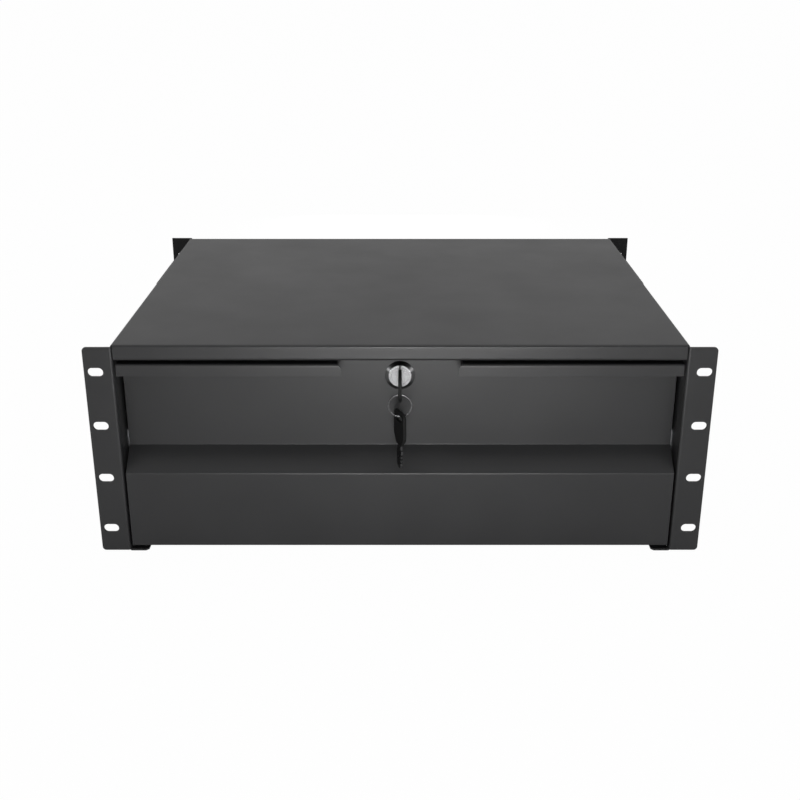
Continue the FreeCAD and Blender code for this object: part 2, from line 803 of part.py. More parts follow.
def make_slide_screws():
    """Thin-head screws into the walls and pan-head screws into the inner slides."""
    outer = []
    last = []
    for side in SIDES.values():
        for depth in slide_holes:
            seat = (side * (inner - d.slide_gauge + d.thin_head + d.thin_head_play), depth, slide_level)
            head = rod("thin_head", seat, "X", d.thin_head_radius, d.thin_head, -side)
            grip = d.slide_gauge - d.thin_head - d.thin_head_play + d.shell_sheet
            shank = rod("thin_shank", seat, "X", d.screw_radius, grip, side)
            outer.append(joined("thin_screw", [head, shank]))
            seat = (side * tray_inner, depth, slide_level)
            head = rod("tray_head", seat, "X", d.pan_head_radius, d.pan_head, -side)
            shank = rod("tray_shank", seat, "X", d.screw_radius, d.drawer_sheet + d.slide_gauge, side)
            last.append(joined("tray_screw", [head, shank]))
    group("outer_slide_screws", outer)
    group("inner_slide_screws", last)


def make_front():
    """Drawer front: one folded sheet with a finger recess, a lip and a foot under the tray."""
    body = new_body("drawer_front")
    thick, bend, fold = d.drawer_sheet, d.drawer_bend, drawer_fold
    slope = d.ledge_rise / d.recess_depth
    lower = thick * root(1 + slope * slope) - thick * slope
    back = front + thick
    end = front + d.front_foot
    pad(body, "folded", "X", -front_half, 2 * front_half, [rounded_moves([
        (end, front_low), (front, front_low, fold), (front, ledge_low, fold),
        (recess, ledge_high, bend), (recess, front_top - thick, bend),
        (back, front_top - thick, bend), (back, lip_low), (front, lip_low), (front, front_top, fold),
        (recess_back, front_top, fold), (recess_back, ledge_high - lower, fold),
        (back, ledge_low - lower, bend), (back, front_low + thick, bend), (end, front_low + thick)])])
    half, slant = d.lip_gap / 2, d.lip_slant
    under, over = lip_low - OVERCUT, front_top + OVERCUT
    cut(body, "lip_gap", "Y", front - OVERCUT, d.recess_depth + OVERCUT, [rounded_moves([
        (-half, under), (half, under), (half, front_top - slant), (half + slant, front_top),
        (half + slant, over), (-half - slant, over),
        (-half - slant, front_top), (-half, front_top - slant)])])
    opening = d.barrel_radius + d.barrel_play
    cut_through(body, "lock_hole", "Y", recess, thick, circles=[(0, lock_level, opening)])
    holes = [(x, y, d.rivet_radius + d.screw_play) for x, y in rivet_spots]
    cut_through(body, "rivet_holes", "Z", front_low, thick, circles=holes)
    studs = [(x, z, d.stud_radius) for x, z in stud_spots]
    pad(body, "studs", "Y", recess_back, d.stud_length, circles=studs)


def make_tray():
    """Drawer tray: folded bottom and sides with inward rims, closed by a front and a back wall."""
    body = new_body("drawer_tray")
    thick, bend, fold = d.drawer_sheet, d.drawer_bend, drawer_fold
    rim = tray_half - d.tray_rim
    low, high = tray_low, tray_top
    half = [(tray_half, low, fold), (tray_half, high, fold), (rim, high), (rim, high - thick),
            (tray_inner, high - thick, bend), (tray_inner, low + thick, bend)]
    far = [(-corner[0],) + corner[1:] for corner in reversed(half)]
    pad(body, "folded", "Y", recess_back, tray_rear - recess_back, [rounded_moves(half + far)])
    lap = thick / 2
    edge, floor, brim = tray_inner + lap, low + lap, high - lap
    notch, corner = d.washer_radius + d.notch_beside, d.notch_corner
    notch_low = lock_level - d.washer_radius - d.notch_below
    pad(body, "front_wall", "Y", recess_back, thick, [rounded_moves([
        (-edge, floor), (edge, floor), (edge, brim), (notch, brim), (notch, notch_low, corner),
        (-notch, notch_low, corner), (-notch, brim), (-edge, brim)])])
    pad(body, "back_wall", "Y", tray_rear - thick, thick, [rounded_moves([
        (-edge, floor), (edge, floor), (edge, brim), (-edge, brim)])])
    holes = [(x, z, d.stud_radius + d.stud_play) for x, z in stud_spots]
    cut_through(body, "stud_holes", "Y", recess_back, thick, circles=holes)
    holes = [(depth, slide_level, d.screw_radius + d.screw_play) for depth in slide_holes]
    cut_through(body, "slide_holes", "X", -tray_half, 2 * tray_half, circles=holes)
    holes = [(x, y, d.rivet_radius + d.screw_play) for x, y in rivet_spots]
    cut_through(body, "rivet_holes", "Z", low, thick, circles=holes)


def make_front_fixings():
    """Nuts on the front's studs, and rivets through its foot and the tray's bottom."""
    nuts = []
    for x, z in stud_spots:
        seat = (x, recess_back + d.drawer_sheet, z)
        block = hexagon("stud_nut_block", seat, "Y", d.nut_across, d.nut_height)
        bore = rod("stud_nut_bore", seat, "Y", d.stud_radius + d.screw_play, d.nut_height)
        nuts.append(drilled("stud_nut", block, bore))
    group("front_stud_nuts", nuts)
    rivets = []
    for x, y in rivet_spots:
        low, high = (x, y, front_low), (x, y, front_low + 2 * d.drawer_sheet)
        shank = rod("rivet_shank", low, "Z", d.rivet_radius, 2 * d.drawer_sheet)
        head = rod("rivet_head", low, "Z", d.rivet_head, d.rivet_dome, -1)
        tail = rod("rivet_tail", high, "Z", d.rivet_head, d.rivet_dome)
        rivets.append(joined("rivet", [shank, head, tail]))
    group("front_foot_rivets", rivets)


def make_lock():
    """Cam lock: housing, washer and nut on the front, with a turning plug, cam and screw."""
    barrel, bore = d.barrel_radius, d.plug_radius + d.plug_play
    housing = new_body("lock_housing")
    turned(housing, "turning", [
        (-d.lock_proud, bore), (-d.lock_proud, d.lock_face), (-d.lock_rim, d.lock_flange),
        (0, d.lock_flange), (0, barrel), (d.barrel_length, barrel), (d.barrel_length, bore)])
    put(housing, 0, recess, lock_level)
    opening = barrel + d.barrel_play
    washer = new_body("lock_washer")
    begin = d.drawer_sheet
    pad(washer, "disc", "Y", begin, d.lock_washer, circles=[(0, 0, d.washer_radius), (0, 0, opening)])
    put(washer, 0, recess, lock_level)
    nut = new_body("lock_nut")
    begin = begin + d.lock_washer
    centre, reach = (as_size(0), as_size(0)), d.lock_nut_across / math.sqrt(3)
    corners = [polar(centre, reach, 60 * step) for step in range(6)]
    pad(nut, "hexagon", "Y", begin, d.lock_nut, [rounded_moves(corners)], [(0, 0, opening)])
    put(nut, 0, recess, lock_level)
    plug = new_body("lock_plug")
    face, end = -d.lock_proud - d.plug_proud, d.barrel_length + d.plug_play
    tail_end = end + d.cam_gap + d.cam_sheet
    half = d.plug_tail / 2
    pad(plug, "barrel", "Y", face, end - face, circles=[(0, 0, d.plug_radius)])
    pad(plug, "tail", "Y", end, tail_end - end, [rounded_moves([
        (-half, -half), (half, -half), (half, half), (-half, half)])])
    high, wide = d.keyway_high / 2, d.keyway_wide / 2
    cut(plug, "keyway", "Y", face - OVERCUT, d.keyway_deep + OVERCUT, [rounded_moves([
        (-wide, -high), (wide, -high), (wide, high), (-wide, high)])])
    grip = d.cam_screw_grip
    screw = d.screw_radius + d.screw_play
    cut(plug, "screw_hole", "Y", tail_end - grip, grip + OVERCUT, circles=[(0, 0, screw)])
    put(plug, 0, recess, lock_level)
    cam = new_body("lock_cam")
    begin, width = end + d.cam_gap, d.cam_width / 2
    half = half + d.tail_play
    reach, corner = d.cam_reach, d.cam_corner
    pad(cam, "arm", "Y", begin, d.cam_sheet, [rounded_moves([
        (0, -width), (0, width), (-reach, width, corner), (-reach, -width, corner)])])
    pad(cam, "hub", "Y", begin, d.cam_sheet, circles=[(0, 0, d.cam_hub)])
    cut_through(cam, "square", "Y", begin, d.cam_sheet, [rounded_moves([
        (-half, -half), (half, -half), (half, half), (-half, half)])])
    put(cam, 0, recess, lock_level)
    seat = (0, recess + tail_end, lock_level)
    head = rod("cam_screw_cap", seat, "Y", d.cam_screw_head, d.cam_screw_cap)
    shank = rod("cam_screw_shank", seat, "Y", d.screw_radius, grip - d.pocket_play, -1)
    group("cam_screw", [joined("cam_screw_solid", [head, shank])])


def make_key(prefix):
    """A flat key, drawn with its shoulder side toward the lock, and its moulded bow."""
    blade = new_body(f"{prefix}_blade")
    half, tang, shoulder = d.blade_half, d.tang_half, -d.blade_shoulder
    end = -d.bow_start - d.tang_in
    edge = [(d.blade_length * along, -half * deep) for along, deep in KEY_BITS]
    along, deep = KEY_TIP
    corners = [(end, -tang), (shoulder, -tang), (shoulder, -half)] + edge
    corners += [(d.blade_length, half * deep), (d.blade_length * along, half),
                (shoulder, half), (shoulder, tang), (end, tang)]
    pad(blade, "flat", "X", d.key_sheet / -2, d.key_sheet, [rounded_moves(corners)])
    bow = new_body(f"{prefix}_bow")
    near, far = -d.bow_start, -d.bow_start - d.bow_length
    wide, neck, curve = d.bow_half, d.bow_neck, d.bow_round
    taper = near - d.bow_taper
    pad(bow, "moulding", "X", d.bow_thick / -2, d.bow_thick, [
        rounded_moves([(near, -neck), (near, neck), (taper, wide, curve), (far, wide, curve),
                       (far, -wide, curve), (taper, -wide, curve)]),
        slot_moves(far + d.hole_end, as_size(0), d.hole_long, d.hole_wide, upright=True)])
    play = d.tang_play
    depth, room = d.key_sheet / 2 + play, tang + play
    cut(bow, "tang_socket", "X", -depth, 2 * depth, [rounded_moves([
        (near + OVERCUT, -room), (near + OVERCUT, room), (end - play, room), (end - play, -room)])])
    return blade, bow


def make_keys():
    """Key in the lock, ring through its bow, and the spare key that hangs from the ring."""
    for piece in make_key("key"):
        put(piece, 0, lock_face, lock_level)
    hoop = doc.addObject("Part::Torus", "split_ring")
    hoop.Label = "split_ring"
    bind(hoop, "Radius1", d.ring_radius)
    bind(hoop, "Radius2", d.ring_wire)
    put(hoop, 0, hole_depth, ring_level, FreeCAD.Rotation(UP, AXES["Y"]))
    nodes.append(hoop)
    hang = FreeCAD.Rotation(UP, SIZES["spare_yaw"]) * FreeCAD.Rotation(AXES["X"], -90)
    hole_level = wire_low + d.ring_wire + d.ring_play - d.hole_wide / 2
    spare_level = hole_level - d.bow_start - d.bow_length + d.hole_end
    for piece in make_key("spare_key"):
        put(piece, 0, hole_depth, spare_level, hang)


def check_and_write():
    """Stop on any broken feature, then write each node's file."""
    doc.recompute()
    for item in doc.Objects:
        if "Invalid" in item.State or "Error" in item.State:
            raise RuntimeError(f"{item.Label}: {item.State}")
    os.makedirs("parts", exist_ok=True)
    for node in nodes:
        shape = node.Shape
        if shape.isNull() or not shape.isValid() or not shape.Solids:
            raise RuntimeError(f"{node.Label}: no valid solid")
        shape.exportStep(f"parts/{node.Label}.step")


make_shell()
make_rear_panel()
make_rear_panel_screws()
for side_name, side_sign in SIDES.items():
    make_bracket(side_name, side_sign)
make_bracket_fasteners()
make_strike()
for side_name, side_sign in SIDES.items():
    make_slide(side_name, side_sign)
    make_cages(side_name, side_sign)
make_slide_screws()
make_front()
make_tray()
make_front_fixings()
make_lock()
make_keys()
check_and_write()
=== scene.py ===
"""Lockable rack drawer unit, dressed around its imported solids.

Every length is in millimetres unless its name says otherwise, and becomes metres through MM.
"""

import json
import logging
import math
from dataclasses import dataclass
from enum import Enum

import bpy
from mathutils import Matrix, Vector


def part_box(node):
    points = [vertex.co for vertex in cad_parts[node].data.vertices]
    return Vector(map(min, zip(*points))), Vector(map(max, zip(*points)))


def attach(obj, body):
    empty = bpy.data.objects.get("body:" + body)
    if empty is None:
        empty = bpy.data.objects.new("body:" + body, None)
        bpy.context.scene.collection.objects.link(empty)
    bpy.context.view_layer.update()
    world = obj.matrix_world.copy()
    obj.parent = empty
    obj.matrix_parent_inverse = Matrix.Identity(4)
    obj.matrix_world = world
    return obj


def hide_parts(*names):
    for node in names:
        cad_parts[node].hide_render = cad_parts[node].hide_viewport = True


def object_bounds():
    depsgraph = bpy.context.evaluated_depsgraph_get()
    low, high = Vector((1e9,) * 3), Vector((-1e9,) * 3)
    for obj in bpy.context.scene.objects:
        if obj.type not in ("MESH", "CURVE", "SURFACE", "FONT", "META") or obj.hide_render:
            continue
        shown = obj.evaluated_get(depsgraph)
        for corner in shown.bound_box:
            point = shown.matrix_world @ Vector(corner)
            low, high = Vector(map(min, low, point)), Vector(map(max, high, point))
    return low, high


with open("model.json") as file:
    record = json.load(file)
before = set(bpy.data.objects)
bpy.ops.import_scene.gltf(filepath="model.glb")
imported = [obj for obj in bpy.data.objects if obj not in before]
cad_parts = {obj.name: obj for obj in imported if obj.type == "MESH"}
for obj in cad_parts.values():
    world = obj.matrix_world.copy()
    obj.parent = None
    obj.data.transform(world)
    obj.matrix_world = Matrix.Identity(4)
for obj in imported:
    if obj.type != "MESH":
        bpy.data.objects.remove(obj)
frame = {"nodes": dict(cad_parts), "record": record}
CAD_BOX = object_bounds()

MM = 0.001
WELD_M = 1e-6           # corners closer than this are one
CLOUD_DETAIL = 3.0      # finer layers in the clouds of a colour
NOISE_ROUGHNESS = 0.55  # how strong those layers are
BEVEL_SAMPLES = 4
COLOUR_A, COLOUR_B, COLOUR_OUT = 6, 7, 2    # a Mix node's sockets for colours
SMOOTH_DEG = 35.0       # edges under this angle are shaded smooth
SHANK_SIDES = 16
HEX_SIDES = 6
LOG = logging.getLogger("rack_drawer")

Colour = tuple[float, float, float]
Point = tuple[float, float, float]
Shade = tuple[float, float, float, float]
Place = tuple[Vector, Vector]   # a point and the way that a repeat faces there
Steps = tuple[tuple[float, float], ...]     # rise of each step of a dome and its upper radius, as parts
UP = Vector((0.0, 0.0, 1.0))


class Wire:
    """An output socket. Plain arithmetic on it adds Math nodes."""

    def __init__(self, graph: "Graph", socket: bpy.types.NodeSocket) -> None:
        """Keep the socket and the graph that it belongs to.

        Args:
            graph: The graph that new nodes are added to.
            socket: The output socket.
        """
        self.graph = graph
        self.socket = socket

    def maths(self, operation: str, first: "Feed", second: "Feed" = 0.0) -> "Wire":
        """Add one Math node.

        Args:
            operation: Blender's name for the operation.
            first: Left operand.
            second: Right operand.

        Returns:
            The node's result.
        """
        return self.graph.wire("ShaderNodeMath", {"operation": operation}, {0: first, 1: second})

    def __add__(self, other: "Feed") -> "Wire":
        """Sum."""
        return self.maths("ADD", self, other)

    def __radd__(self, other: "Feed") -> "Wire":
        """Sum, reflected."""
        return self.maths("ADD", other, self)

    def __sub__(self, other: "Feed") -> "Wire":
        """Difference."""
        return self.maths("SUBTRACT", self, other)

    def __rsub__(self, other: "Feed") -> "Wire":
        """Difference, reflected."""
        return self.maths("SUBTRACT", other, self)

    def __mul__(self, other: "Feed") -> "Wire":
        """Product."""
        return self.maths("MULTIPLY", self, other)

    def __rmul__(self, other: "Feed") -> "Wire":
        """Product, reflected."""
        return self.maths("MULTIPLY", other, self)

    def __truediv__(self, other: "Feed") -> "Wire":
        """Quotient."""
        return self.maths("DIVIDE", self, other)

    def __rtruediv__(self, other: "Feed") -> "Wire":
        """Quotient, reflected."""
        return self.maths("DIVIDE", other, self)

    def root(self) -> "Wire":
        """Square root."""
        return self.maths("SQRT", self)

    def ramp(self, start: float, end: float) -> "Wire":
        """A smooth step from 0 at one value to 1 at another.

        Args:
            start: The value that gives 0.
            end: The value that gives 1.

        Returns:
            The step.
        """
        return self.graph.wire("ShaderNodeMapRange", {"interpolation_type": "SMOOTHSTEP"}, {
            "Value": self, "From Min": start, "From Max": end})


Feed = Wire | float


class Graph:
    """A node tree that nodes are added to by type, settings and sockets."""

    def __init__(self, tree: bpy.types.NodeTree) -> None:
        """Start with an empty tree.

        Args:
            tree: The tree to fill.
        """
        self.tree = tree
        tree.nodes.clear()

    def node(self, kind: str, settings: dict | None = None, inputs: dict | None = None) -> bpy.types.Node:
        """Add a node.

        Args:
            kind: Blender's type name of the node.
            settings: Properties of the node, set before its sockets.
            inputs: Values or wires by socket name or number.

        Returns:
            The new node.
        """
        made = self.tree.nodes.new(kind)
        for name, value in (settings or {}).items():
            setattr(made, name, value)
        for key, value in (inputs or {}).items():
            if isinstance(value, Wire):
                self.tree.links.new(value.socket, made.inputs[key])
            else:
                made.inputs[key].default_value = value
        return made

    def wire(self, kind: str, settings: dict | None = None, inputs: dict | None = None,
             output: int | str = 0) -> Wire:
        """Add a node and take one of its outputs.

        Args:
            kind: Blender's type name of the node.
            settings: Properties of the node.
            inputs: Values or wires by socket name or number.
            output: Name or number of the output.

        Returns:
            The chosen output.
        """
        return Wire(self, self.node(kind, settings, inputs).outputs[output])


class Coordinates:
    """Textures over a piece's own coordinates, in a material's graph."""

    def __init__(self, graph: Graph) -> None:
        """Take the object coordinates.

        Args:
            graph: The material's graph.
        """
        self.graph = graph
        self.place = graph.wire("ShaderNodeTexCoord", output="Object")

    def noise(self, size: float, detail: float, stretch: Point = (1.0, 1.0, 1.0)) -> Wire:
        """Cloudy noise from 0 to 1.

        Args:
            size: About how wide a patch is.
            detail: How many finer layers it has.
            stretch: How many times longer patches are along each axis.

        Returns:
            The noise value.
        """
        scale = tuple(1.0 / part for part in stretch)
        spread = self.graph.wire("ShaderNodeMapping", None, {"Vector": self.place, "Scale": scale})
        return self.graph.wire("ShaderNodeTexNoise", None, {
            "Vector": spread, "Scale": 1.0 / (size * MM), "Detail": detail,
            "Roughness": NOISE_ROUGHNESS})

    def cells(self, size: float) -> Wire:
        """A random value for each crystal of a plated surface.

        Args:
            size: About how wide a crystal is.

        Returns:
            A grey value from 0 to 1.
        """
        colour = self.graph.wire("ShaderNodeTexVoronoi", None, {
            "Vector": self.place, "Scale": 1.0 / (size * MM)}, "Color")
        return self.graph.wire("ShaderNodeSeparateColor", None, {"Color": colour})

    def mixed(self, factor: Wire, first: Wire | Shade, second: Wire | Shade) -> Wire:
        """One colour turning into another.

        Args:
            factor: 0 for the first colour, 1 for the second.
            first: The first colour.
            second: The second colour.

        Returns:
            The mixed colour.
        """
        return self.graph.wire("ShaderNodeMix", {"data_type": "RGBA"}, {
            "Factor": factor, COLOUR_A: first, COLOUR_B: second}, COLOUR_OUT)

    def along(self, axis: int) -> Wire:
        """One of the piece's own coordinates, in metres."""
        return self.graph.wire("ShaderNodeSeparateXYZ", None, {"Vector": self.place}, axis)


@dataclass(frozen=True)
class Finish:
    """What every finish has: a slot of the record, a colour and a gloss."""

    slot: str
    colour: Colour
    roughness: float
    metallic: float = 0.0
    edge: float = 0.25          # rounding of sharp edges in the shading
    vary: float = 0.08          # how far the colour goes up and down
    patch: float = 60.0         # width of a cloud of that colour
    wear: float = 0.06          # how far the roughness goes up and down
    shine: float = 0.5          # Blender's specular level
    grain: float = 0.5          # width of the finest relief
    layers: float = 2.0         # finer layers in it
    bump: float = 0.15          # strength of the relief
    depth: float = 0.02         # and its height

    def shade(self, factor: float) -> Shade:
        """The colour made lighter or darker by a factor, with its alpha."""
        return tuple(part * factor for part in self.colour) + (1.0,)

    def tone(self, spots: Coordinates) -> Wire:
        """A slowly changing value for the colour, from 0 to 1."""
        return spots.noise(self.patch, CLOUD_DETAIL)

    def paint(self, spots: Coordinates, tone: Wire) -> Wire:
        """The colour between its darkest and its lightest."""
        return spots.mixed(tone, self.shade(1.0 - self.vary), self.shade(1.0 + self.vary))

    def relief(self, spots: Coordinates) -> Wire:
        """Height of the surface, from 0 to about 1."""
        return spots.noise(self.grain, self.layers)

    def material(self) -> bpy.types.Material:
        """Make the finish's material.

        Returns:
            The material, named for its slot.
        """
        made = bpy.data.materials.new(self.slot)
        made.use_nodes = True
        graph = Graph(made.node_tree)
        spots = Coordinates(graph)
        tone = self.tone(spots)
        gloss = self.roughness + (tone - 0.5) * (2.0 * self.wear)
        rounded = graph.wire("ShaderNodeBevel", {"samples": BEVEL_SAMPLES}, {"Radius": self.edge * MM})
        normal = graph.wire("ShaderNodeBump", None, {
            "Height": self.relief(spots), "Strength": self.bump, "Distance": self.depth * MM,
            "Normal": rounded})
        shader = graph.wire("ShaderNodeBsdfPrincipled", None, {
            "Base Color": self.paint(spots, tone), "Roughness": gloss, "Metallic": self.metallic,
            "Specular IOR Level": self.shine, "Normal": normal})
        graph.node("ShaderNodeOutputMaterial", None, {"Surface": shader})
        return made


@dataclass(frozen=True)
class PowderCoat(Finish):
    """Baked powder: fine even grain with a little orange peel."""

    grain: float = 0.55
    layers: float = 1.0
    bump: float = 0.25
    depth: float = 0.03
    peel: float = 3.0           # width of the orange peel
    swell: float = 0.6          # its height as a part of the grain's

    def relief(self, spots: Coordinates) -> Wire:
        """Fine grain over a slow swell."""
        return super().relief(spots) + self.swell * spots.noise(self.peel, self.layers)


@dataclass(frozen=True)
class PlatedSteel(Finish):
    """Zinc or nickel over rolled steel, with crystals and faint rolling lines."""

    grain: float = 0.3
    layers: float = 1.0
    bump: float = 0.2
    depth: float = 0.006
    crystal: float = 2.2        # width of a crystal
    clouded: float = 0.5        # share of the clouds in the colour
    rolling: Point = (1.0, 30.0, 1.0)   # how much longer a rolling line is than wide

    def tone(self, spots: Coordinates) -> Wire:
        """Crystals mixed with clouds."""
        return (1.0 - self.clouded) * spots.cells(self.crystal) + self.clouded * super().tone(spots)

    def relief(self, spots: Coordinates) -> Wire:
        """Rolling lines."""
        return spots.noise(self.grain, self.layers, self.rolling)


@dataclass(frozen=True)
class LockChrome(PlatedSteel):
    """Bright plated face whose rim has a painted reflection: the rim is darkened to stand for the dark
    panel that the chrome mirrors.
    """

    face: float = 8.7           # radius of the bright face
    soft: float = 0.25          # width of the change
    # painted reflection: how dark the rim is painted, standing for the dark surroundings that the chrome
    # mirrors
    painted_reflection_level: float = 0.22          # the rim's colour as a part of the face's
    rear: float = 18.5          # the rim lies before this depth
    fade: float = 0.1           # depth over which it ends

    def paint(self, spots: Coordinates, tone: Wire) -> Wire:
        """The bright colour, with a painted dark reflection on the rim past the face's edge.

        Args:
            spots: The material's coordinates.
            tone: The value that the colour follows.

        Returns:
            The colour.
        """
        bright = super().paint(spots, tone)
        low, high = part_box("lock_plug")
        across = spots.along(0) - (low[0] + high[0]) / 2
        upright = spots.along(2) - (low[2] + high[2]) / 2
        radius = (across * across + upright * upright).root()
        # Painted reflection: past the face the colour is darkened, in place of the dark panel that the
        # chrome rim mirrors.
        rim = radius.ramp(self.face * MM, (self.face + self.soft) * MM)
        ahead = spots.along(1).ramp((self.rear + self.fade) * MM, self.rear * MM)
        return spots.mixed(rim * ahead, bright, self.shade(self.painted_reflection_level))


@dataclass(frozen=True)
class Moulding(Finish):
    """Moulded plastic with the even pits of a spark-eroded mould."""

    grain: float = 0.25
    bump: float = 0.35


FINISHES = (
    PowderCoat("charcoal_coat", (0.02, 0.02, 0.021), 0.36),
    PowderCoat("black_coat", (0.018, 0.018, 0.0185), 0.55, shine=0.25),
    PlatedSteel("zinc_steel", (0.58, 0.59, 0.61), 0.34, 1.0, edge=0.12),
    PlatedSteel("cage_steel", (0.46, 0.46, 0.48), 0.26, 1.0, edge=0.06),
    LockChrome("lock_chrome", (0.57, 0.57, 0.58), 0.22, 1.0, edge=0.15, vary=0.03, patch=9.0,
               wear=0.04),
    PlatedSteel("key_steel", (0.1, 0.1, 0.102), 0.26, 1.0, edge=0.1, vary=0.2, patch=8.0),
    Moulding("key_plastic", (0.005, 0.005, 0.005), 0.5, edge=0.3, shine=0.2),
)


class Drive(Enum):
    """What a driver grips on a head."""

    CROSS = "cross"
    HEX_SOCKET = "hex socket"


class Facing(Enum):
    """The way in which a row of fasteners faces."""

    REAR = "rear"
    OUTWARD = "outward"
    INWARD = "inward"

    def way(self, place: Vector) -> Vector:
        """Direction of the fastener that stands at a place.

        Args:
            place: Where it stands.

        Returns:
            The direction, one long.
        """
        if self is Facing.REAR:
            return Vector((0.0, 1.0, 0.0))
        outward = Vector((math.copysign(1.0, place.x), 0.0, 0.0))
        return outward if self is Facing.OUTWARD else -outward


class GrownTree(Graph):
    """A Geometry Nodes tree with named inputs that ends in one material."""

    def __init__(self, name: str, sizes: dict[str, float]) -> None:
        """Make the tree with its inputs.

        Args:
            name: The tree's name.
            sizes: Each named size, in millimetres.
        """
        super().__init__(bpy.data.node_groups.new(name, "GeometryNodeTree"))
        self.sizes = sizes
        sockets = self.tree.interface
        sockets.new_socket("Geometry", in_out="OUTPUT", socket_type="NodeSocketGeometry")
        sockets.new_socket("Places", in_out="INPUT", socket_type="NodeSocketGeometry")
        self.keys = {"Material": sockets.new_socket(
            "Material", in_out="INPUT", socket_type="NodeSocketMaterial").identifier}
        for label, value in sizes.items():
            socket = sockets.new_socket(label, in_out="INPUT", socket_type="NodeSocketFloat")
            socket.default_value = value
            self.keys[label] = socket.identifier
        self.entry = self.node("NodeGroupInput")

    def taken(self, label: str) -> Wire:
        """One of the tree's inputs, a size in metres."""
        return Wire(self, self.entry.outputs[label]) * MM

    def moved(self, geometry: Wire, rise: Feed = 0.0, turn: Point = (0.0, 0.0, 0.0)) -> Wire:
        """Raise and turn some geometry.

        Args:
            geometry: What moves.
            rise: Way along Z.
            turn: Angles about the axes, in radians.

        Returns:
            The moved geometry.
        """
        way = self.wire("ShaderNodeCombineXYZ", None, {"Z": rise})
        return self.wire("GeometryNodeTransform", None, {
            "Geometry": geometry, "Translation": way, "Rotation": turn})

    def stack(self, radius: Feed, sides: int, steps: list[tuple[Feed, float]]) -> Wire:
        """A turned form that stands on the XY plane.

        Args:
            radius: Radius of its foot.
            sides: Number of sides.
            steps: Rise of each step and its upper radius as a part of its lower one.

        Returns:
            The closed mesh.
        """
        mesh = self.wire("GeometryNodeMeshCircle", {"fill_type": "NGON"}, {
            "Vertices": sides, "Radius": radius})
        foot = self.wire("GeometryNodeFlipFaces", None, {"Mesh": mesh})
        up = self.wire("ShaderNodeCombineXYZ", None, {"Z": 1.0})
        top: dict[str, Wire] = {}   # what the next step grows from, at first everything
        for rise, part in steps:
            grown = self.node("GeometryNodeExtrudeMesh", {"mode": "FACES"}, {
                "Mesh": mesh, "Offset": up, "Offset Scale": rise} | top)
            top = {"Selection": Wire(self, grown.outputs["Top"])}
            mesh = self.wire("GeometryNodeScaleElements", None, {
                "Geometry": Wire(self, grown.outputs["Mesh"]), "Scale": part} | top)
        return self.wire("GeometryNodeMergeByDistance", None, {
            "Geometry": self.together([mesh, foot]), "Distance": WELD_M})

    def gathered(self, made: bpy.types.Node, key: int | str, pieces: list[Wire]) -> Wire:
        """Link several meshes to one socket of a node.

        Args:
            made: The node.
            key: Name or number of the socket.
            pieces: The meshes.

        Returns:
            The node's first output.
        """
        for piece in pieces:
            self.tree.links.new(piece.socket, made.inputs[key])
        return Wire(self, made.outputs[0])

    def less(self, mesh: Wire, tools: list[Wire]) -> Wire:
        """A mesh with tools cut out of it."""
        return self.gathered(self.node("GeometryNodeMeshBoolean", {
            "operation": "DIFFERENCE", "solver": "EXACT"}, {"Mesh 1": mesh}), "Mesh 2", tools)

    def shared(self, pieces: list[Wire]) -> Wire:
        """What several meshes share."""
        return self.gathered(self.node("GeometryNodeMeshBoolean", {
            "operation": "INTERSECT", "solver": "EXACT"}), "Mesh 2", pieces)

    def together(self, pieces: list[Wire]) -> Wire:
        """Several meshes as one."""
        return self.gathered(self.node("GeometryNodeJoinGeometry"), 0, pieces)

    def repeated(self, piece: Wire) -> Wire:
        """Stand a piece on every place, its Z along the place's own way.

        Args:
            piece: What repeats.

        Returns:
            The repeats, as instances.
        """
        places = Wire(self, self.entry.outputs["Places"])
        kind = {"data_type": "FLOAT_VECTOR"}
        way = self.wire("GeometryNodeInputNamedAttribute", kind, {"Name": "way"})
        turn = self.wire("FunctionNodeAlignRotationToVector", {"axis": "Z"}, {"Vector": way})
        return self.wire("GeometryNodeInstanceOnPoints", None, {
            "Points": places, "Instance": piece, "Rotation": turn})

    def closed(self, piece: Wire, smooth: float = SMOOTH_DEG) -> "GrownTree":
        """End the tree with a piece on every place.

        Args:
            piece: What repeats.
            smooth: Edges under this angle, in degrees, are shaded smooth.

        Returns:
            The tree itself.
        """
        whole = self.wire("GeometryNodeRealizeInstances", None, {"Geometry": self.repeated(piece)})
        angle = self.wire("GeometryNodeInputMeshEdgeAngle", output="Unsigned Angle")
        flat = self.wire("FunctionNodeCompare", {"data_type": "FLOAT", "operation": "LESS_THAN"}, {
            0: angle, 1: math.radians(smooth)})
        whole = self.wire("GeometryNodeSetShadeSmooth", {"domain": "FACE"}, {"Geometry": whole})
        whole = self.wire("GeometryNodeSetShadeSmooth", {"domain": "EDGE"}, {
            "Geometry": whole, "Shade Smooth": flat})
        named = Wire(self, self.entry.outputs["Material"])
        whole = self.wire("GeometryNodeSetMaterial", None, {"Geometry": whole, "Material": named})
        self.node("NodeGroupOutput", None, {"Geometry": whole})
        return self


def put(name: str, data: bpy.types.ID) -> bpy.types.Object:
    """Put something in the scene, at the origin.

    Args:
        name: The object's name.
        data: Its mesh, curve, lamp or camera.

    Returns:
        The object.
    """
    made = bpy.data.objects.new(name, data)
    bpy.context.scene.collection.objects.link(made)
    return made


def plain(piece: bpy.types.Object) -> bpy.types.Mesh:
    """The mesh that a curve or a grown object comes to."""
    made = piece.evaluated_get(bpy.context.evaluated_depsgraph_get())
    return bpy.data.meshes.new_from_object(made)


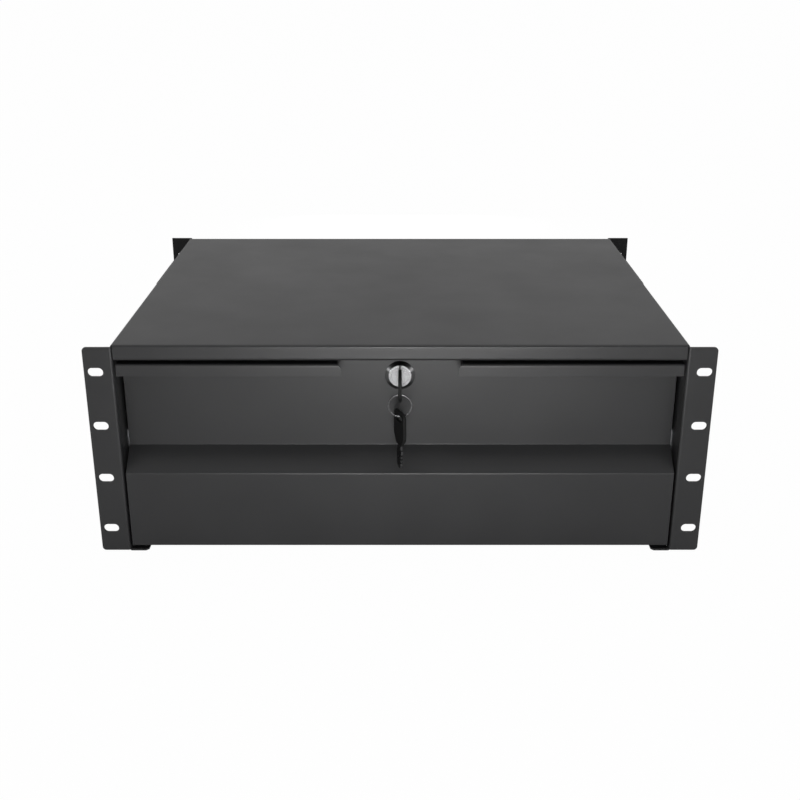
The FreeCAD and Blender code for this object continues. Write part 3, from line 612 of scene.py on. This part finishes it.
class Workshop:
    """Finishes by slot, and the ways in which pieces are put on their bodies."""

    def __init__(self) -> None:
        """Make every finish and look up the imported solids."""
        self.materials = {finish.slot: finish.material() for finish in FINISHES}
        self.body_of = {node: body for body, names in frame["record"]["behaviour"]["bodies"].items()
                        for node in names}
        self.slot_of = {part["node"]: part["material_slot"] for part in frame["record"]["subparts"]}

    def finish(self, mesh: bpy.types.Mesh, node: str) -> None:
        """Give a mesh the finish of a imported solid, alone."""
        mesh.materials.clear()
        mesh.materials.append(self.materials[self.slot_of[node]])

    def settle(self, piece: bpy.types.Object, like: str, stands_for: bool = True) -> None:
        """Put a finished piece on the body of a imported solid.

        Args:
            piece: The piece.
            like: The solid whose body and slot it shares.
            stands_for: Whether it is shown in that solid's stead.
        """
        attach(piece, self.body_of[like])
        if stands_for:
            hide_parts(like)
        LOG.info("made %s, %d faces, on %s", piece.name, len(piece.data.polygons), self.body_of[like])

    def grow(self, name: str, tree: GrownTree, like: str, places: list[Place],
             stands_for: bool = True) -> None:
        """Make a piece with a Geometry Nodes tree and keep its plain mesh.

        Args:
            name: The piece's name.
            tree: The tree that makes it.
            like: The solid whose body and slot it shares.
            places: Point and way of each repeat, in metres.
            stands_for: Whether it is shown in that solid's stead.
        """
        mesh = bpy.data.meshes.new(f"{name}_places")
        mesh.from_pydata([tuple(point) for point, _ in places], [], [])
        ways = mesh.attributes.new("way", "FLOAT_VECTOR", "POINT")
        for item, (_, way) in zip(ways.data, places):
            item.vector = way
        piece = put(name, mesh)
        modifier = piece.modifiers.new("grown", "NODES")
        modifier.node_group = tree.tree
        for label, value in tree.sizes.items():
            modifier[tree.keys[label]] = float(value)
        modifier[tree.keys["Material"]] = self.materials[self.slot_of[like]]
        made = plain(piece)
        piece.modifiers.remove(modifier)
        piece.data = made
        bpy.data.meshes.remove(mesh)
        self.settle(piece, like, stands_for)


def islands(node: str) -> list[tuple[Vector, Vector]]:
    """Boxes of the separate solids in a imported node.

    Args:
        node: The node's name.

    Returns:
        Lowest and highest corner of each solid, in metres, in order of place.
    """
    same, ordered = 7, 4        # decimals of a metre for joined corners, and for the order
    mesh = frame["nodes"][node].data
    leader: dict[tuple, tuple] = {}

    def head(key: tuple) -> tuple:
        """Follow a key to the one that stands for its whole group.

        Args:
            key: A corner's place.

        Returns:
            The group's own key.
        """
        while leader[key] != key:
            leader[key] = leader[leader[key]]
            key = leader[key]
        return key

    keys = [tuple(round(part, same) for part in vertex.co) for vertex in mesh.vertices]
    for key in keys:
        leader.setdefault(key, key)
    for face in mesh.polygons:
        first = head(keys[face.vertices[0]])
        for index in face.vertices[1:]:
            leader[head(keys[index])] = first
    groups: dict[tuple, list[tuple]] = {}
    for key in leader:
        groups.setdefault(head(key), []).append(key)
    boxes = [tuple(Vector(map(pick, zip(*points))) for pick in (min, max))
             for points in groups.values()]
    return sorted(boxes, key=lambda box: tuple(round(part, ordered) for part in box[0]))


@dataclass(frozen=True)
class Headed:
    """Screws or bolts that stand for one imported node."""

    node: str
    facing: Facing
    head_radius: float
    head_height: float
    shank_radius: float
    drive: Drive
    drive_size: float           # width across the recess
    drive_depth: float
    crown: float = 0.45         # part of the head's height that is domed
    dome_steps: Steps = ((0.45, 0.94), (0.35, 0.83), (0.2, 0.6))
    sides: int = 32
    arm: float = 0.24           # width of a cross recess's arm as a part of its length

    def tree(self, length: float) -> GrownTree:
        """One screw on every place.

        Args:
            length: Length of the shank.

        Returns:
            The tree.
        """
        tree = GrownTree(f"{self.node}_tree", {
            "Head Radius": self.head_radius, "Head Height": self.head_height,
            "Shank Radius": self.shank_radius, "Shank Length": length,
            "Drive Size": self.drive_size, "Drive Depth": self.drive_depth})
        height = tree.taken("Head Height")
        rim, dome = height * (1.0 - self.crown), height * self.crown
        steps = [(rim, 1.0)] + [(dome * rise, part) for rise, part in self.dome_steps]
        head = tree.stack(tree.taken("Head Radius"), self.sides, steps)
        head = self.driven(tree, head, height)
        shank = tree.stack(tree.taken("Shank Radius"), SHANK_SIDES, [(tree.taken("Shank Length"), 1.0)])
        shank = tree.moved(shank, tree.taken("Shank Length") * -1.0)
        return tree.closed(tree.together([head, shank]))

    def driven(self, tree: GrownTree, head: Wire, height: Wire) -> Wire:
        """Cut the drive into a head.

        Args:
            tree: The tree.
            head: The head, standing on the XY plane.
            height: Its height.

        Returns:
            The head with its recess.
        """
        size, depth = tree.taken("Drive Size"), tree.taken("Drive Depth")
        if self.drive is Drive.CROSS:
            block = tree.wire("ShaderNodeCombineXYZ", None, {
                "X": size, "Y": size * self.arm, "Z": depth * 2.0})
            bar = tree.wire("GeometryNodeMeshCube", None, {"Size": block})
            turns = [(0.0, 0.0, turn) for turn in (0.0, math.pi / 2)]
            return tree.less(head, [tree.moved(bar, height, turn) for turn in turns])
        corner = size / (2.0 * math.cos(math.pi / HEX_SIDES))
        hole = tree.stack(corner, HEX_SIDES, [(depth * 2.0, 1.0)])
        return tree.less(head, [tree.moved(hole, height - depth)])

    def build(self, shop: Workshop) -> None:
        """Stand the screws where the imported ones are.

        Args:
            shop: Where pieces are made.
        """
        places = []
        for low, high in islands(self.node):
            way = self.facing.way(low + high)
            reach = abs((high - low).dot(way))
            places.append(((low + high) / 2 + way * (reach / 2 - self.head_height * MM), way))
        shop.grow(f"{self.node}_detail", self.tree(reach / MM - self.head_height), self.node, places)


@dataclass(frozen=True)
class Nuts:
    """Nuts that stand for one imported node."""

    node: str
    facing: Facing
    sides: int
    across: float
    bore: float
    chamfer: float = 0.12       # part of the height at each end
    inner: float = 0.97         # radius where a chamfer ends as a part of half the flats' width
    barrel_sides: int = 48
    bore_sides: int = 24

    def tree(self, thick: float) -> GrownTree:
        """One nut on every place.

        Args:
            thick: Height of a nut.

        Returns:
            The tree.
        """
        tree = GrownTree(f"{self.node}_tree", {
            "Across": self.across, "Height": thick, "Bore": self.bore})
        across, height = tree.taken("Across"), tree.taken("Height")
        corner = across / (2.0 * math.cos(math.pi / self.sides))
        block = tree.stack(corner, self.sides, [(height, 1.0)])
        flat = self.inner * math.cos(math.pi / self.sides)
        barrel = tree.stack(corner * flat, self.barrel_sides, [
            (height * self.chamfer, 1.0 / flat), (height * (1.0 - 2.0 * self.chamfer), 1.0),
            (height * self.chamfer, flat)])
        hole = tree.stack(tree.taken("Bore"), self.bore_sides, [(height * 2.0, 1.0)])
        hole = tree.moved(hole, height * -0.5)
        return tree.closed(tree.less(tree.shared([block, barrel]), [hole]))

    def build(self, shop: Workshop) -> None:
        """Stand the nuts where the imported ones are.

        Args:
            shop: Where pieces are made.
        """
        places = []
        for low, high in islands(self.node):
            way = self.facing.way(low + high)
            thick = abs((high - low).dot(way))
            places.append(((low + high) / 2 - way * thick / 2, way))
        shop.grow(f"{self.node}_detail", self.tree(thick / MM), self.node, places)


@dataclass(frozen=True)
class Rivets:
    """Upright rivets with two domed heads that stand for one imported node."""

    node: str
    head_radius: float
    dome: float
    shank_radius: float
    dome_steps: Steps = ((0.35, 0.96), (0.35, 0.82), (0.2, 0.62), (0.1, 0.4))
    sides: int = 24

    def tree(self, grip: float) -> GrownTree:
        """One rivet on every place.

        Args:
            grip: Thickness of the sheets between the heads.

        Returns:
            The tree.
        """
        tree = GrownTree(f"{self.node}_tree", {
            "Head Radius": self.head_radius, "Dome": self.dome, "Shank Radius": self.shank_radius,
            "Grip": grip})
        dome = tree.taken("Dome")
        steps = [(dome * rise, part) for rise, part in self.dome_steps]
        head = tree.stack(tree.taken("Head Radius"), self.sides, steps)
        shank = tree.stack(tree.taken("Shank Radius"), SHANK_SIDES, [(tree.taken("Grip"), 1.0)])
        upper = tree.moved(head, tree.taken("Grip"))
        lower = tree.moved(head, turn=(math.pi, 0.0, 0.0))
        return tree.closed(tree.together([shank, upper, lower]))

    def build(self, shop: Workshop) -> None:
        """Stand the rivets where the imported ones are.

        Args:
            shop: Where pieces are made.
        """
        places = []
        for low, high in islands(self.node):
            middle = (low + high) / 2
            places.append((Vector((middle.x, middle.y, low.z + self.dome * MM)), UP))
        grip = (high.z - low.z) / MM - 2.0 * self.dome
        shop.grow(f"{self.node}_detail", self.tree(grip), self.node, places)


@dataclass
class SubAssembly:
    """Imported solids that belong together, with the finer pieces that stand for some of them."""

    solids: tuple[str, ...]

    def dress(self, shop: Workshop) -> None:
        """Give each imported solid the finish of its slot.

        Args:
            shop: Where pieces are made.
        """
        for name in self.solids:
            shop.finish(frame["nodes"][name].data, name)
            LOG.info("dressed %s in %s", name, shop.slot_of[name])

    def refine(self, shop: Workshop) -> None:
        """Make the finer pieces."""

    def build(self, shop: Workshop) -> None:
        """Dress the solids, then make the finer pieces."""
        self.dress(shop)
        self.refine(shop)


@dataclass
class Chassis(SubAssembly):
    """What stays in the rack: folded shell, rear panel, support angles and strike."""

    solids: tuple[str, ...] = (
        "outer_shell", "rear_panel", "rear_panel_screws", "left_rear_bracket", "right_rear_bracket",
        "bracket_bolts", "bracket_clinch_nuts", "lock_strike")
    panel_screws: Headed = Headed(
        "rear_panel_screws", Facing.REAR, head_radius=3.6, head_height=2.0, shank_radius=2.0,
        drive=Drive.CROSS, drive_size=4.2, drive_depth=1.2)
    bolts: Headed = Headed(
        "bracket_bolts", Facing.OUTWARD, head_radius=4.7, head_height=2.2, shank_radius=2.4,
        drive=Drive.HEX_SOCKET, drive_size=3.0, drive_depth=1.4, crown=0.7)
    clinch_nuts: Nuts = Nuts(
        "bracket_clinch_nuts", Facing.INWARD, sides=32, across=8.8, bore=2.5, chamfer=0.1)

    def refine(self, shop: Workshop) -> None:
        """Make the screws, bolts and nuts."""
        for row in (self.panel_screws, self.bolts, self.clinch_nuts):
            row.build(shop)


@dataclass
class Drawer(SubAssembly):
    """What slides out: folded front and tray."""

    solids: tuple[str, ...] = ("drawer_front", "drawer_tray", "front_stud_nuts", "front_foot_rivets")
    stud_nuts: Nuts = Nuts("front_stud_nuts", Facing.REAR, sides=6, across=7.0, bore=2.05)
    foot_rivets: Rivets = Rivets("front_foot_rivets", head_radius=3.0, dome=0.8, shank_radius=1.6)

    def refine(self, shop: Workshop) -> None:
        """Make the nuts and rivets."""
        self.stud_nuts.build(shop)
        self.foot_rivets.build(shop)


@dataclass
class Slides(SubAssembly):
    """Telescopic slides: three members a side, with balls in cages between them."""

    solids: tuple[str, ...] = (
        "left_outer_slide", "right_outer_slide", "left_middle_slide", "right_middle_slide",
        "left_inner_slide", "right_inner_slide", "left_outer_ball_cage", "right_outer_ball_cage",
        "left_inner_ball_cage", "right_inner_ball_cage", "outer_slide_screws", "inner_slide_screws")
    outer_screws: Headed = Headed(
        "outer_slide_screws", Facing.INWARD, head_radius=3.6, head_height=0.5, shank_radius=2.0,
        drive=Drive.CROSS, drive_size=3.6, drive_depth=0.35, crown=0.4)
    inner_screws: Headed = Headed(
        "inner_slide_screws", Facing.INWARD, head_radius=3.6, head_height=2.0, shank_radius=2.0,
        drive=Drive.CROSS, drive_size=4.2, drive_depth=1.2)
    ball_radius: float = 2.0
    ball_sides: int = 16
    ball_rings: int = 10
    ball_smooth: float = 80.0   # degrees
    between: int = 9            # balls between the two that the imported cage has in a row

    def ball_tree(self) -> GrownTree:
        """A ball on every place.

        Returns:
            The tree.
        """
        tree = GrownTree("ball_row_tree", {"Radius": self.ball_radius})
        ball = tree.wire("GeometryNodeMeshUVSphere", None, {
            "Segments": self.ball_sides, "Rings": self.ball_rings, "Radius": tree.taken("Radius")})
        return tree.closed(ball, self.ball_smooth)

    def ball_places(self, cage: str) -> list[Place]:
        """Places of the balls that fill a cage's rows.

        Args:
            cage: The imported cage.

        Returns:
            The places.
        """
        longest = 4.0 * self.ball_radius * MM   # more than a ball's diagonal, less than a cage's
        level_digits = 5            # decimals of a metre to which a row's balls agree
        balls = [(low + high) / 2 for low, high in islands(cage) if (high - low).length < longest]
        places = []
        for level in sorted({round(ball.z, level_digits) for ball in balls}):
            row = sorted((ball for ball in balls if abs(ball.z - level) < self.ball_radius * MM),
                         key=lambda ball: ball.y)
            places += [(row[0].lerp(row[-1], step / (self.between + 1)), UP)
                       for step in range(1, self.between + 1)]
        return places

    def refine(self, shop: Workshop) -> None:
        """Make the screws and fill the rows of balls.

        Args:
            shop: Where pieces are made.
        """
        self.outer_screws.build(shop)
        self.inner_screws.build(shop)
        tree = self.ball_tree()
        for cage in (name for name in self.solids if name.endswith("ball_cage")):
            shop.grow(f"{cage}_row", tree, cage, self.ball_places(cage), stands_for=False)


@dataclass
class LockSet(SubAssembly):
    """Cam lock in the front: housing, washer, nut, plug, cam and its screw."""

    solids: tuple[str, ...] = (
        "lock_housing", "lock_washer", "lock_nut", "lock_plug", "lock_cam", "cam_screw")
    screw: Headed = Headed(
        "cam_screw", Facing.REAR, head_radius=4.2, head_height=2.4, shank_radius=2.0,
        drive=Drive.CROSS, drive_size=4.6, drive_depth=1.3)

    def refine(self, shop: Workshop) -> None:
        """Make the cam's screw."""
        self.screw.build(shop)


@dataclass
class KeySet(SubAssembly):
    """Two keys with moulded bows on a split ring."""

    solids: tuple[str, ...] = ("key_blade", "key_bow", "split_ring", "spare_key_blade", "spare_key_bow")
    start: float = 5.4          # lock face to the bow
    length: float = 28.0
    half: float = 10.0          # half the bow's height
    neck: float = 5.0           # half its height at the lock
    taper: float = 7.0          # length over which it widens
    thick: float = 2.6
    curve: float = 5.0          # rounding of its corners
    hole_end: float = 6.0       # middle of the ring's slot to the bow's far end
    hole_long: float = 12.7
    hole_wide: float = 4.5
    hole_round: float = 0.999   # rounding of the slot's ends as a part of half its width
    neck_round: float = 1.0
    edge: float = 0.7           # rounding of the bow's edges
    edge_steps: int = 3
    sharp: float = 40.0         # degrees, past which an edge of the bow stays sharp
    spare_yaw: float = 22.0     # degrees that the hanging key is turned
    ring_turns: float = 2.0
    ring_steps: int = 64        # points on each turn
    ring_smooth: float = 50.0   # degrees
    wire_high: float = 1.1      # across the ring's face
    wire_wide: float = 0.38     # along its axis
    wire_round: float = 0.4     # rounding of its edges as a part of that
    wire_steps: int = 3
    wire_pitch: float = 0.4

    def outline(self) -> list[Point]:
        """Corners of the bow, each with its rounding.

        Returns:
            Way from the lock, height and radius of each corner.
        """
        near, far = -self.start, -self.start - self.length
        shoulder = near - self.taper
        return [(near, -self.neck, self.neck_round), (near, self.neck, self.neck_round),
                (shoulder, self.half, self.curve), (far, self.half, self.curve),
                (far, -self.half, self.curve), (shoulder, -self.half, self.curve)]

    def slot(self) -> list[Point]:
        """Corners of the ring's slot, each with its rounding.

        Returns:
            Way from the lock, height and radius of each corner.
        """
        middle = -self.start - self.length + self.hole_end
        wide, long = self.hole_wide / 2, self.hole_long / 2
        curve = wide * self.hole_round
        return [(middle - wide, -long, curve), (middle + wide, -long, curve),
                (middle + wide, long, curve), (middle - wide, long, curve)]

    @staticmethod
    def rounded(corners: list[Point], steps: int = 8) -> list[Vector]:
        """Round the corners of an outline.

        Args:
            corners: Corners with their radii.
            steps: Points on each arc, less one.

        Returns:
            Points round the outline, in metres.
        """
        points = []
        for index, (x, y, radius) in enumerate(corners):
            here = Vector((x, y))
            back = (Vector(corners[index - 1][:2]) - here).normalized()
            ahead = (Vector(corners[(index + 1) % len(corners)][:2]) - here).normalized()
            half = back.angle(ahead) / 2
            centre = here + (back + ahead).normalized() * radius / math.sin(half)
            first = here + back * radius / math.tan(half) - centre
            last = here + ahead * radius / math.tan(half) - centre
            sweep = first.angle_signed(last)
            points += [(centre + Matrix.Rotation(-sweep * step / steps, 2) @ first) * MM
                       for step in range(steps + 1)]
        return points

    def bow_mesh(self, name: str) -> bpy.types.Mesh:
        """The bow as a mesh, drawn in X and Y with its thickness along Z.

        Args:
            name: The mesh's name.

        Returns:
            The mesh.
        """
        flat = bpy.data.curves.new(name, "CURVE")
        flat.dimensions = "2D"
        flat.fill_mode = "BOTH"
        flat.bevel_depth = self.edge * MM
        flat.bevel_resolution = self.edge_steps
        flat.offset = -self.edge * MM
        flat.extrude = (self.thick / 2 - self.edge) * MM
        for corners in (self.outline(), self.slot()):
            points = self.rounded(corners)
            spline = flat.splines.new("POLY")
            spline.points.add(len(points) - 1)
            for item, point in zip(spline.points, points):
                item.co = (point.x, point.y, 0.0, 1.0)
            spline.use_cyclic_u = True
        holder = put(name, flat)
        mesh = plain(holder)
        bpy.data.objects.remove(holder)
        bpy.data.curves.remove(flat)
        return mesh

    def bows(self, shop: Workshop) -> None:
        """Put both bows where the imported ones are.

        Args:
            shop: Where pieces are made.
        """
        # What is drawn along X, Y and Z comes to lie along Y, Z and X.
        upright = Matrix(((0, 0, 1, 0), (1, 0, 0, 0), (0, 1, 0, 0), (0, 0, 0, 1)))
        hang = Matrix.Rotation(math.radians(-90.0), 4, "X")
        hang = Matrix.Rotation(math.radians(self.spare_yaw), 4, "Z") @ hang
        for node, turn in (("key_bow", Matrix.Identity(4)), ("spare_key_bow", hang)):
            mesh = self.bow_mesh(f"{node}_moulding")
            mesh.transform(turn @ upright)
            low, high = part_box(node)
            corners = [vertex.co for vertex in mesh.vertices]
            least, most = (Vector(map(pick, zip(*corners))) for pick in (min, max))
            mesh.transform(Matrix.Translation((Vector(low) + Vector(high) - least - most) / 2))
            shop.finish(mesh, node)
            for face in mesh.polygons:
                face.use_smooth = True
            mesh.set_sharp_from_angle(angle=math.radians(self.sharp))
            shop.settle(put(f"{node}_moulding", mesh), node)

    def ring_tree(self, across: float) -> GrownTree:
        """Flat wire coiled into a ring.

        Args:
            across: The ring's outer width.

        Returns:
            The tree.
        """
        tree = GrownTree("split_ring_tree", {
            "Radius": across / 2 - self.wire_high / 2, "Wire High": self.wire_high,
            "Wire Wide": self.wire_wide, "Pitch": self.wire_pitch})
        radius, rise = tree.taken("Radius"), tree.taken("Pitch") * self.ring_turns
        coil = tree.wire("GeometryNodeCurveSpiral", None, {
            "Resolution": self.ring_steps, "Rotations": self.ring_turns, "Start Radius": radius,
            "End Radius": radius, "Height": rise})
        coil = tree.wire("GeometryNodeSetCurveNormal", {"mode": "Z_UP"}, {"Curve": coil})
        section = tree.wire("GeometryNodeCurvePrimitiveQuadrilateral", None, {
            "Width": tree.taken("Wire High"), "Height": tree.taken("Wire Wide")})
        section = tree.wire("GeometryNodeFilletCurve", {"mode": "POLY"}, {
            "Curve": section, "Count": self.wire_steps,
            "Radius": tree.taken("Wire Wide") * self.wire_round})
        wire = tree.wire("GeometryNodeCurveToMesh", None, {
            "Curve": coil, "Profile Curve": section, "Fill Caps": True})
        return tree.closed(tree.moved(wire, rise * -0.5), self.ring_smooth)

    def ring(self, shop: Workshop) -> None:
        """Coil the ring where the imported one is.

        Args:
            shop: Where pieces are made.
        """
        low, high = (Vector(corner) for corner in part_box("split_ring"))
        place = ((low + high) / 2, Vector((0.0, 1.0, 0.0)))
        shop.grow("split_ring_coil", self.ring_tree((high.x - low.x) / MM), "split_ring", [place])

    def refine(self, shop: Workshop) -> None:
        """Make the bows and the ring."""
        self.bows(shop)
        self.ring(shop)


@dataclass(frozen=True)
class Lamp:
    """A soft rectangular lamp, with its places in metres."""

    name: str
    watts: float
    size_m: tuple[float, float]
    place_m: Point
    aim_m: Point

    def build(self) -> None:
        """Hang the lamp and point it."""
        light = bpy.data.lights.new(self.name, "AREA")
        light.shape = "RECTANGLE"
        light.size, light.size_y = self.size_m
        light.energy = self.watts
        made = put(self.name, light)
        made.location = self.place_m
        made.rotation_euler = (Vector(self.aim_m) - made.location).to_track_quat("-Z", "Y").to_euler()


@dataclass
class Studio:
    """Pale floor, white surround, soft lamps and the camera."""

    floor_size_m: float = 60.0
    floor_grey: float = 0.85
    floor_white: float = 0.985  # share of plain white in the floor that the camera sees
    floor_gloss: float = 0.08   # and in the floor that a reflection shows
    floor_gap: float = 0.05     # clearance under the unit, so that no faces coincide
    sky_level: float = 0.48     # light that the surround gives
    sky_gloss: float = 0.64     # level of the surround that a reflection shows
    overhead: float = 0.62      # level of the surround overhead
    overhead_from: float = 0.12     # upward part of the direction where it starts to change
    overhead_to: float = 0.6        # and where it has changed
    sensor: float = 36.0
    lens: float = 50.61
    camera_place: Point = (0.0, -808.6, 359.2)
    camera_down: float = 21.33  # degrees
    lamps: tuple[Lamp, ...] = (
        Lamp("top_lamp", 7.6, (1.6, 1.2), (0.0, 0.2, 2.1), (0.0, 0.15, 0.0)),
        Lamp("front_lamp", 4.15, (0.3, 0.18), (0.025, -0.95, 0.01), (0.0, 0.0, 0.03)),
        Lamp("rear_lamp", 4.0, (0.3, 0.12), (0.0, 1.3, -0.02), (0.0, 0.35, 0.0)),
        Lamp("left_lamp", 1.0, (0.25, 0.25), (-1.3, -0.8, 0.26), (0.0, 0.0, 0.05)),
        Lamp("right_lamp", 1.0, (0.25, 0.25), (1.3, -0.8, 0.26), (0.0, 0.0, 0.05)),
    )

    def floor(self) -> None:
        """A plane under the unit's feet."""
        half = self.floor_size_m / 2
        level = CAD_BOX[0][2] - self.floor_gap * MM
        mesh = bpy.data.meshes.new("floor")
        corners = [(x * half, y * half, level) for x, y in ((-1, -1), (1, -1), (1, 1), (-1, 1))]
        mesh.from_pydata(corners, [], [(0, 1, 2, 3)])
        paint = bpy.data.materials.new("floor_paint")
        paint.use_nodes = True
        graph = Graph(paint.node_tree)
        grey = (self.floor_grey, self.floor_grey, self.floor_grey, 1.0)
        matt = graph.wire("ShaderNodeBsdfDiffuse", None, {"Color": grey})
        white = graph.wire("ShaderNodeEmission", None, {"Strength": 1.0})
        share = self.seen(graph, self.floor_white, self.floor_gloss)
        mixed = graph.wire("ShaderNodeMixShader", None, {0: share, 1: matt, 2: white})
        graph.node("ShaderNodeOutputMaterial", None, {"Surface": mixed})
        mesh.materials.append(paint)
        put("floor", mesh)

    @staticmethod
    def seen(graph: Graph, straight: float, mirrored: float) -> Wire:
        """Levels for what the camera sees straight, and in a reflection or through glass.

        Args:
            graph: The graph that needs the level.
            straight: Level for the camera's own rays.
            mirrored: Level for rays from gloss or glass.

        Returns:
            The level, which is 0 for other rays.
        """
        path = graph.node("ShaderNodeLightPath")
        camera, gloss, glass = (Wire(graph, path.outputs[f"Is {kind} Ray"])
                                for kind in ("Camera", "Glossy", "Transmission"))
        mirror = gloss.maths("MAXIMUM", gloss, glass) * mirrored
        return camera.maths("MAXIMUM", camera * straight, mirror)

    def surround(self) -> None:
        """A white surround that lights the unit at a plain level."""
        world = bpy.data.worlds.new("surround")
        world.use_nodes = True
        graph = Graph(world.node_tree)
        way = graph.wire("ShaderNodeTexCoord", output="Generated")
        rise = graph.wire("ShaderNodeSeparateXYZ", None, {"Vector": way}, 2)
        dome = 1.0 - rise.ramp(self.overhead_from, self.overhead_to) * (1.0 - self.overhead)
        lit = self.seen(graph, 0.0, self.sky_gloss)
        level = dome * lit.maths("MAXIMUM", lit, self.sky_level)
        level = level.maths("MAXIMUM", level, self.seen(graph, 1.0, 0.0))
        white = graph.wire("ShaderNodeBackground", None, {
            "Color": (1.0, 1.0, 1.0, 1.0), "Strength": level})
        graph.node("ShaderNodeOutputWorld", None, {"Surface": white})
        bpy.context.scene.world = world

    def camera(self) -> None:
        """The camera at the photograph's angle."""
        lens = bpy.data.cameras.new("camera")
        lens.sensor_width = self.sensor
        lens.lens = self.lens
        made = put("camera", lens)
        made.location = [part * MM for part in self.camera_place]
        made.rotation_euler = (math.radians(90.0 - self.camera_down), 0.0, 0.0)
        bpy.context.scene.camera = made

    def build(self) -> None:
        """Set up the whole studio."""
        bpy.context.scene.view_settings.view_transform = "Standard"
        self.floor()
        self.surround()
        for lamp in self.lamps:
            lamp.build()
        self.camera()
        LOG.info("studio is set")


def main() -> None:
    """Dress the solids, make the finer pieces and set up the studio."""
    logging.basicConfig(level=logging.INFO, format="%(name)s: %(message)s")
    shop = Workshop()
    for assembly in (Chassis(), Drawer(), Slides(), LockSet(), KeySet()):
        assembly.build(shop)
    Studio().build()


if __name__ == "__main__":
    main()
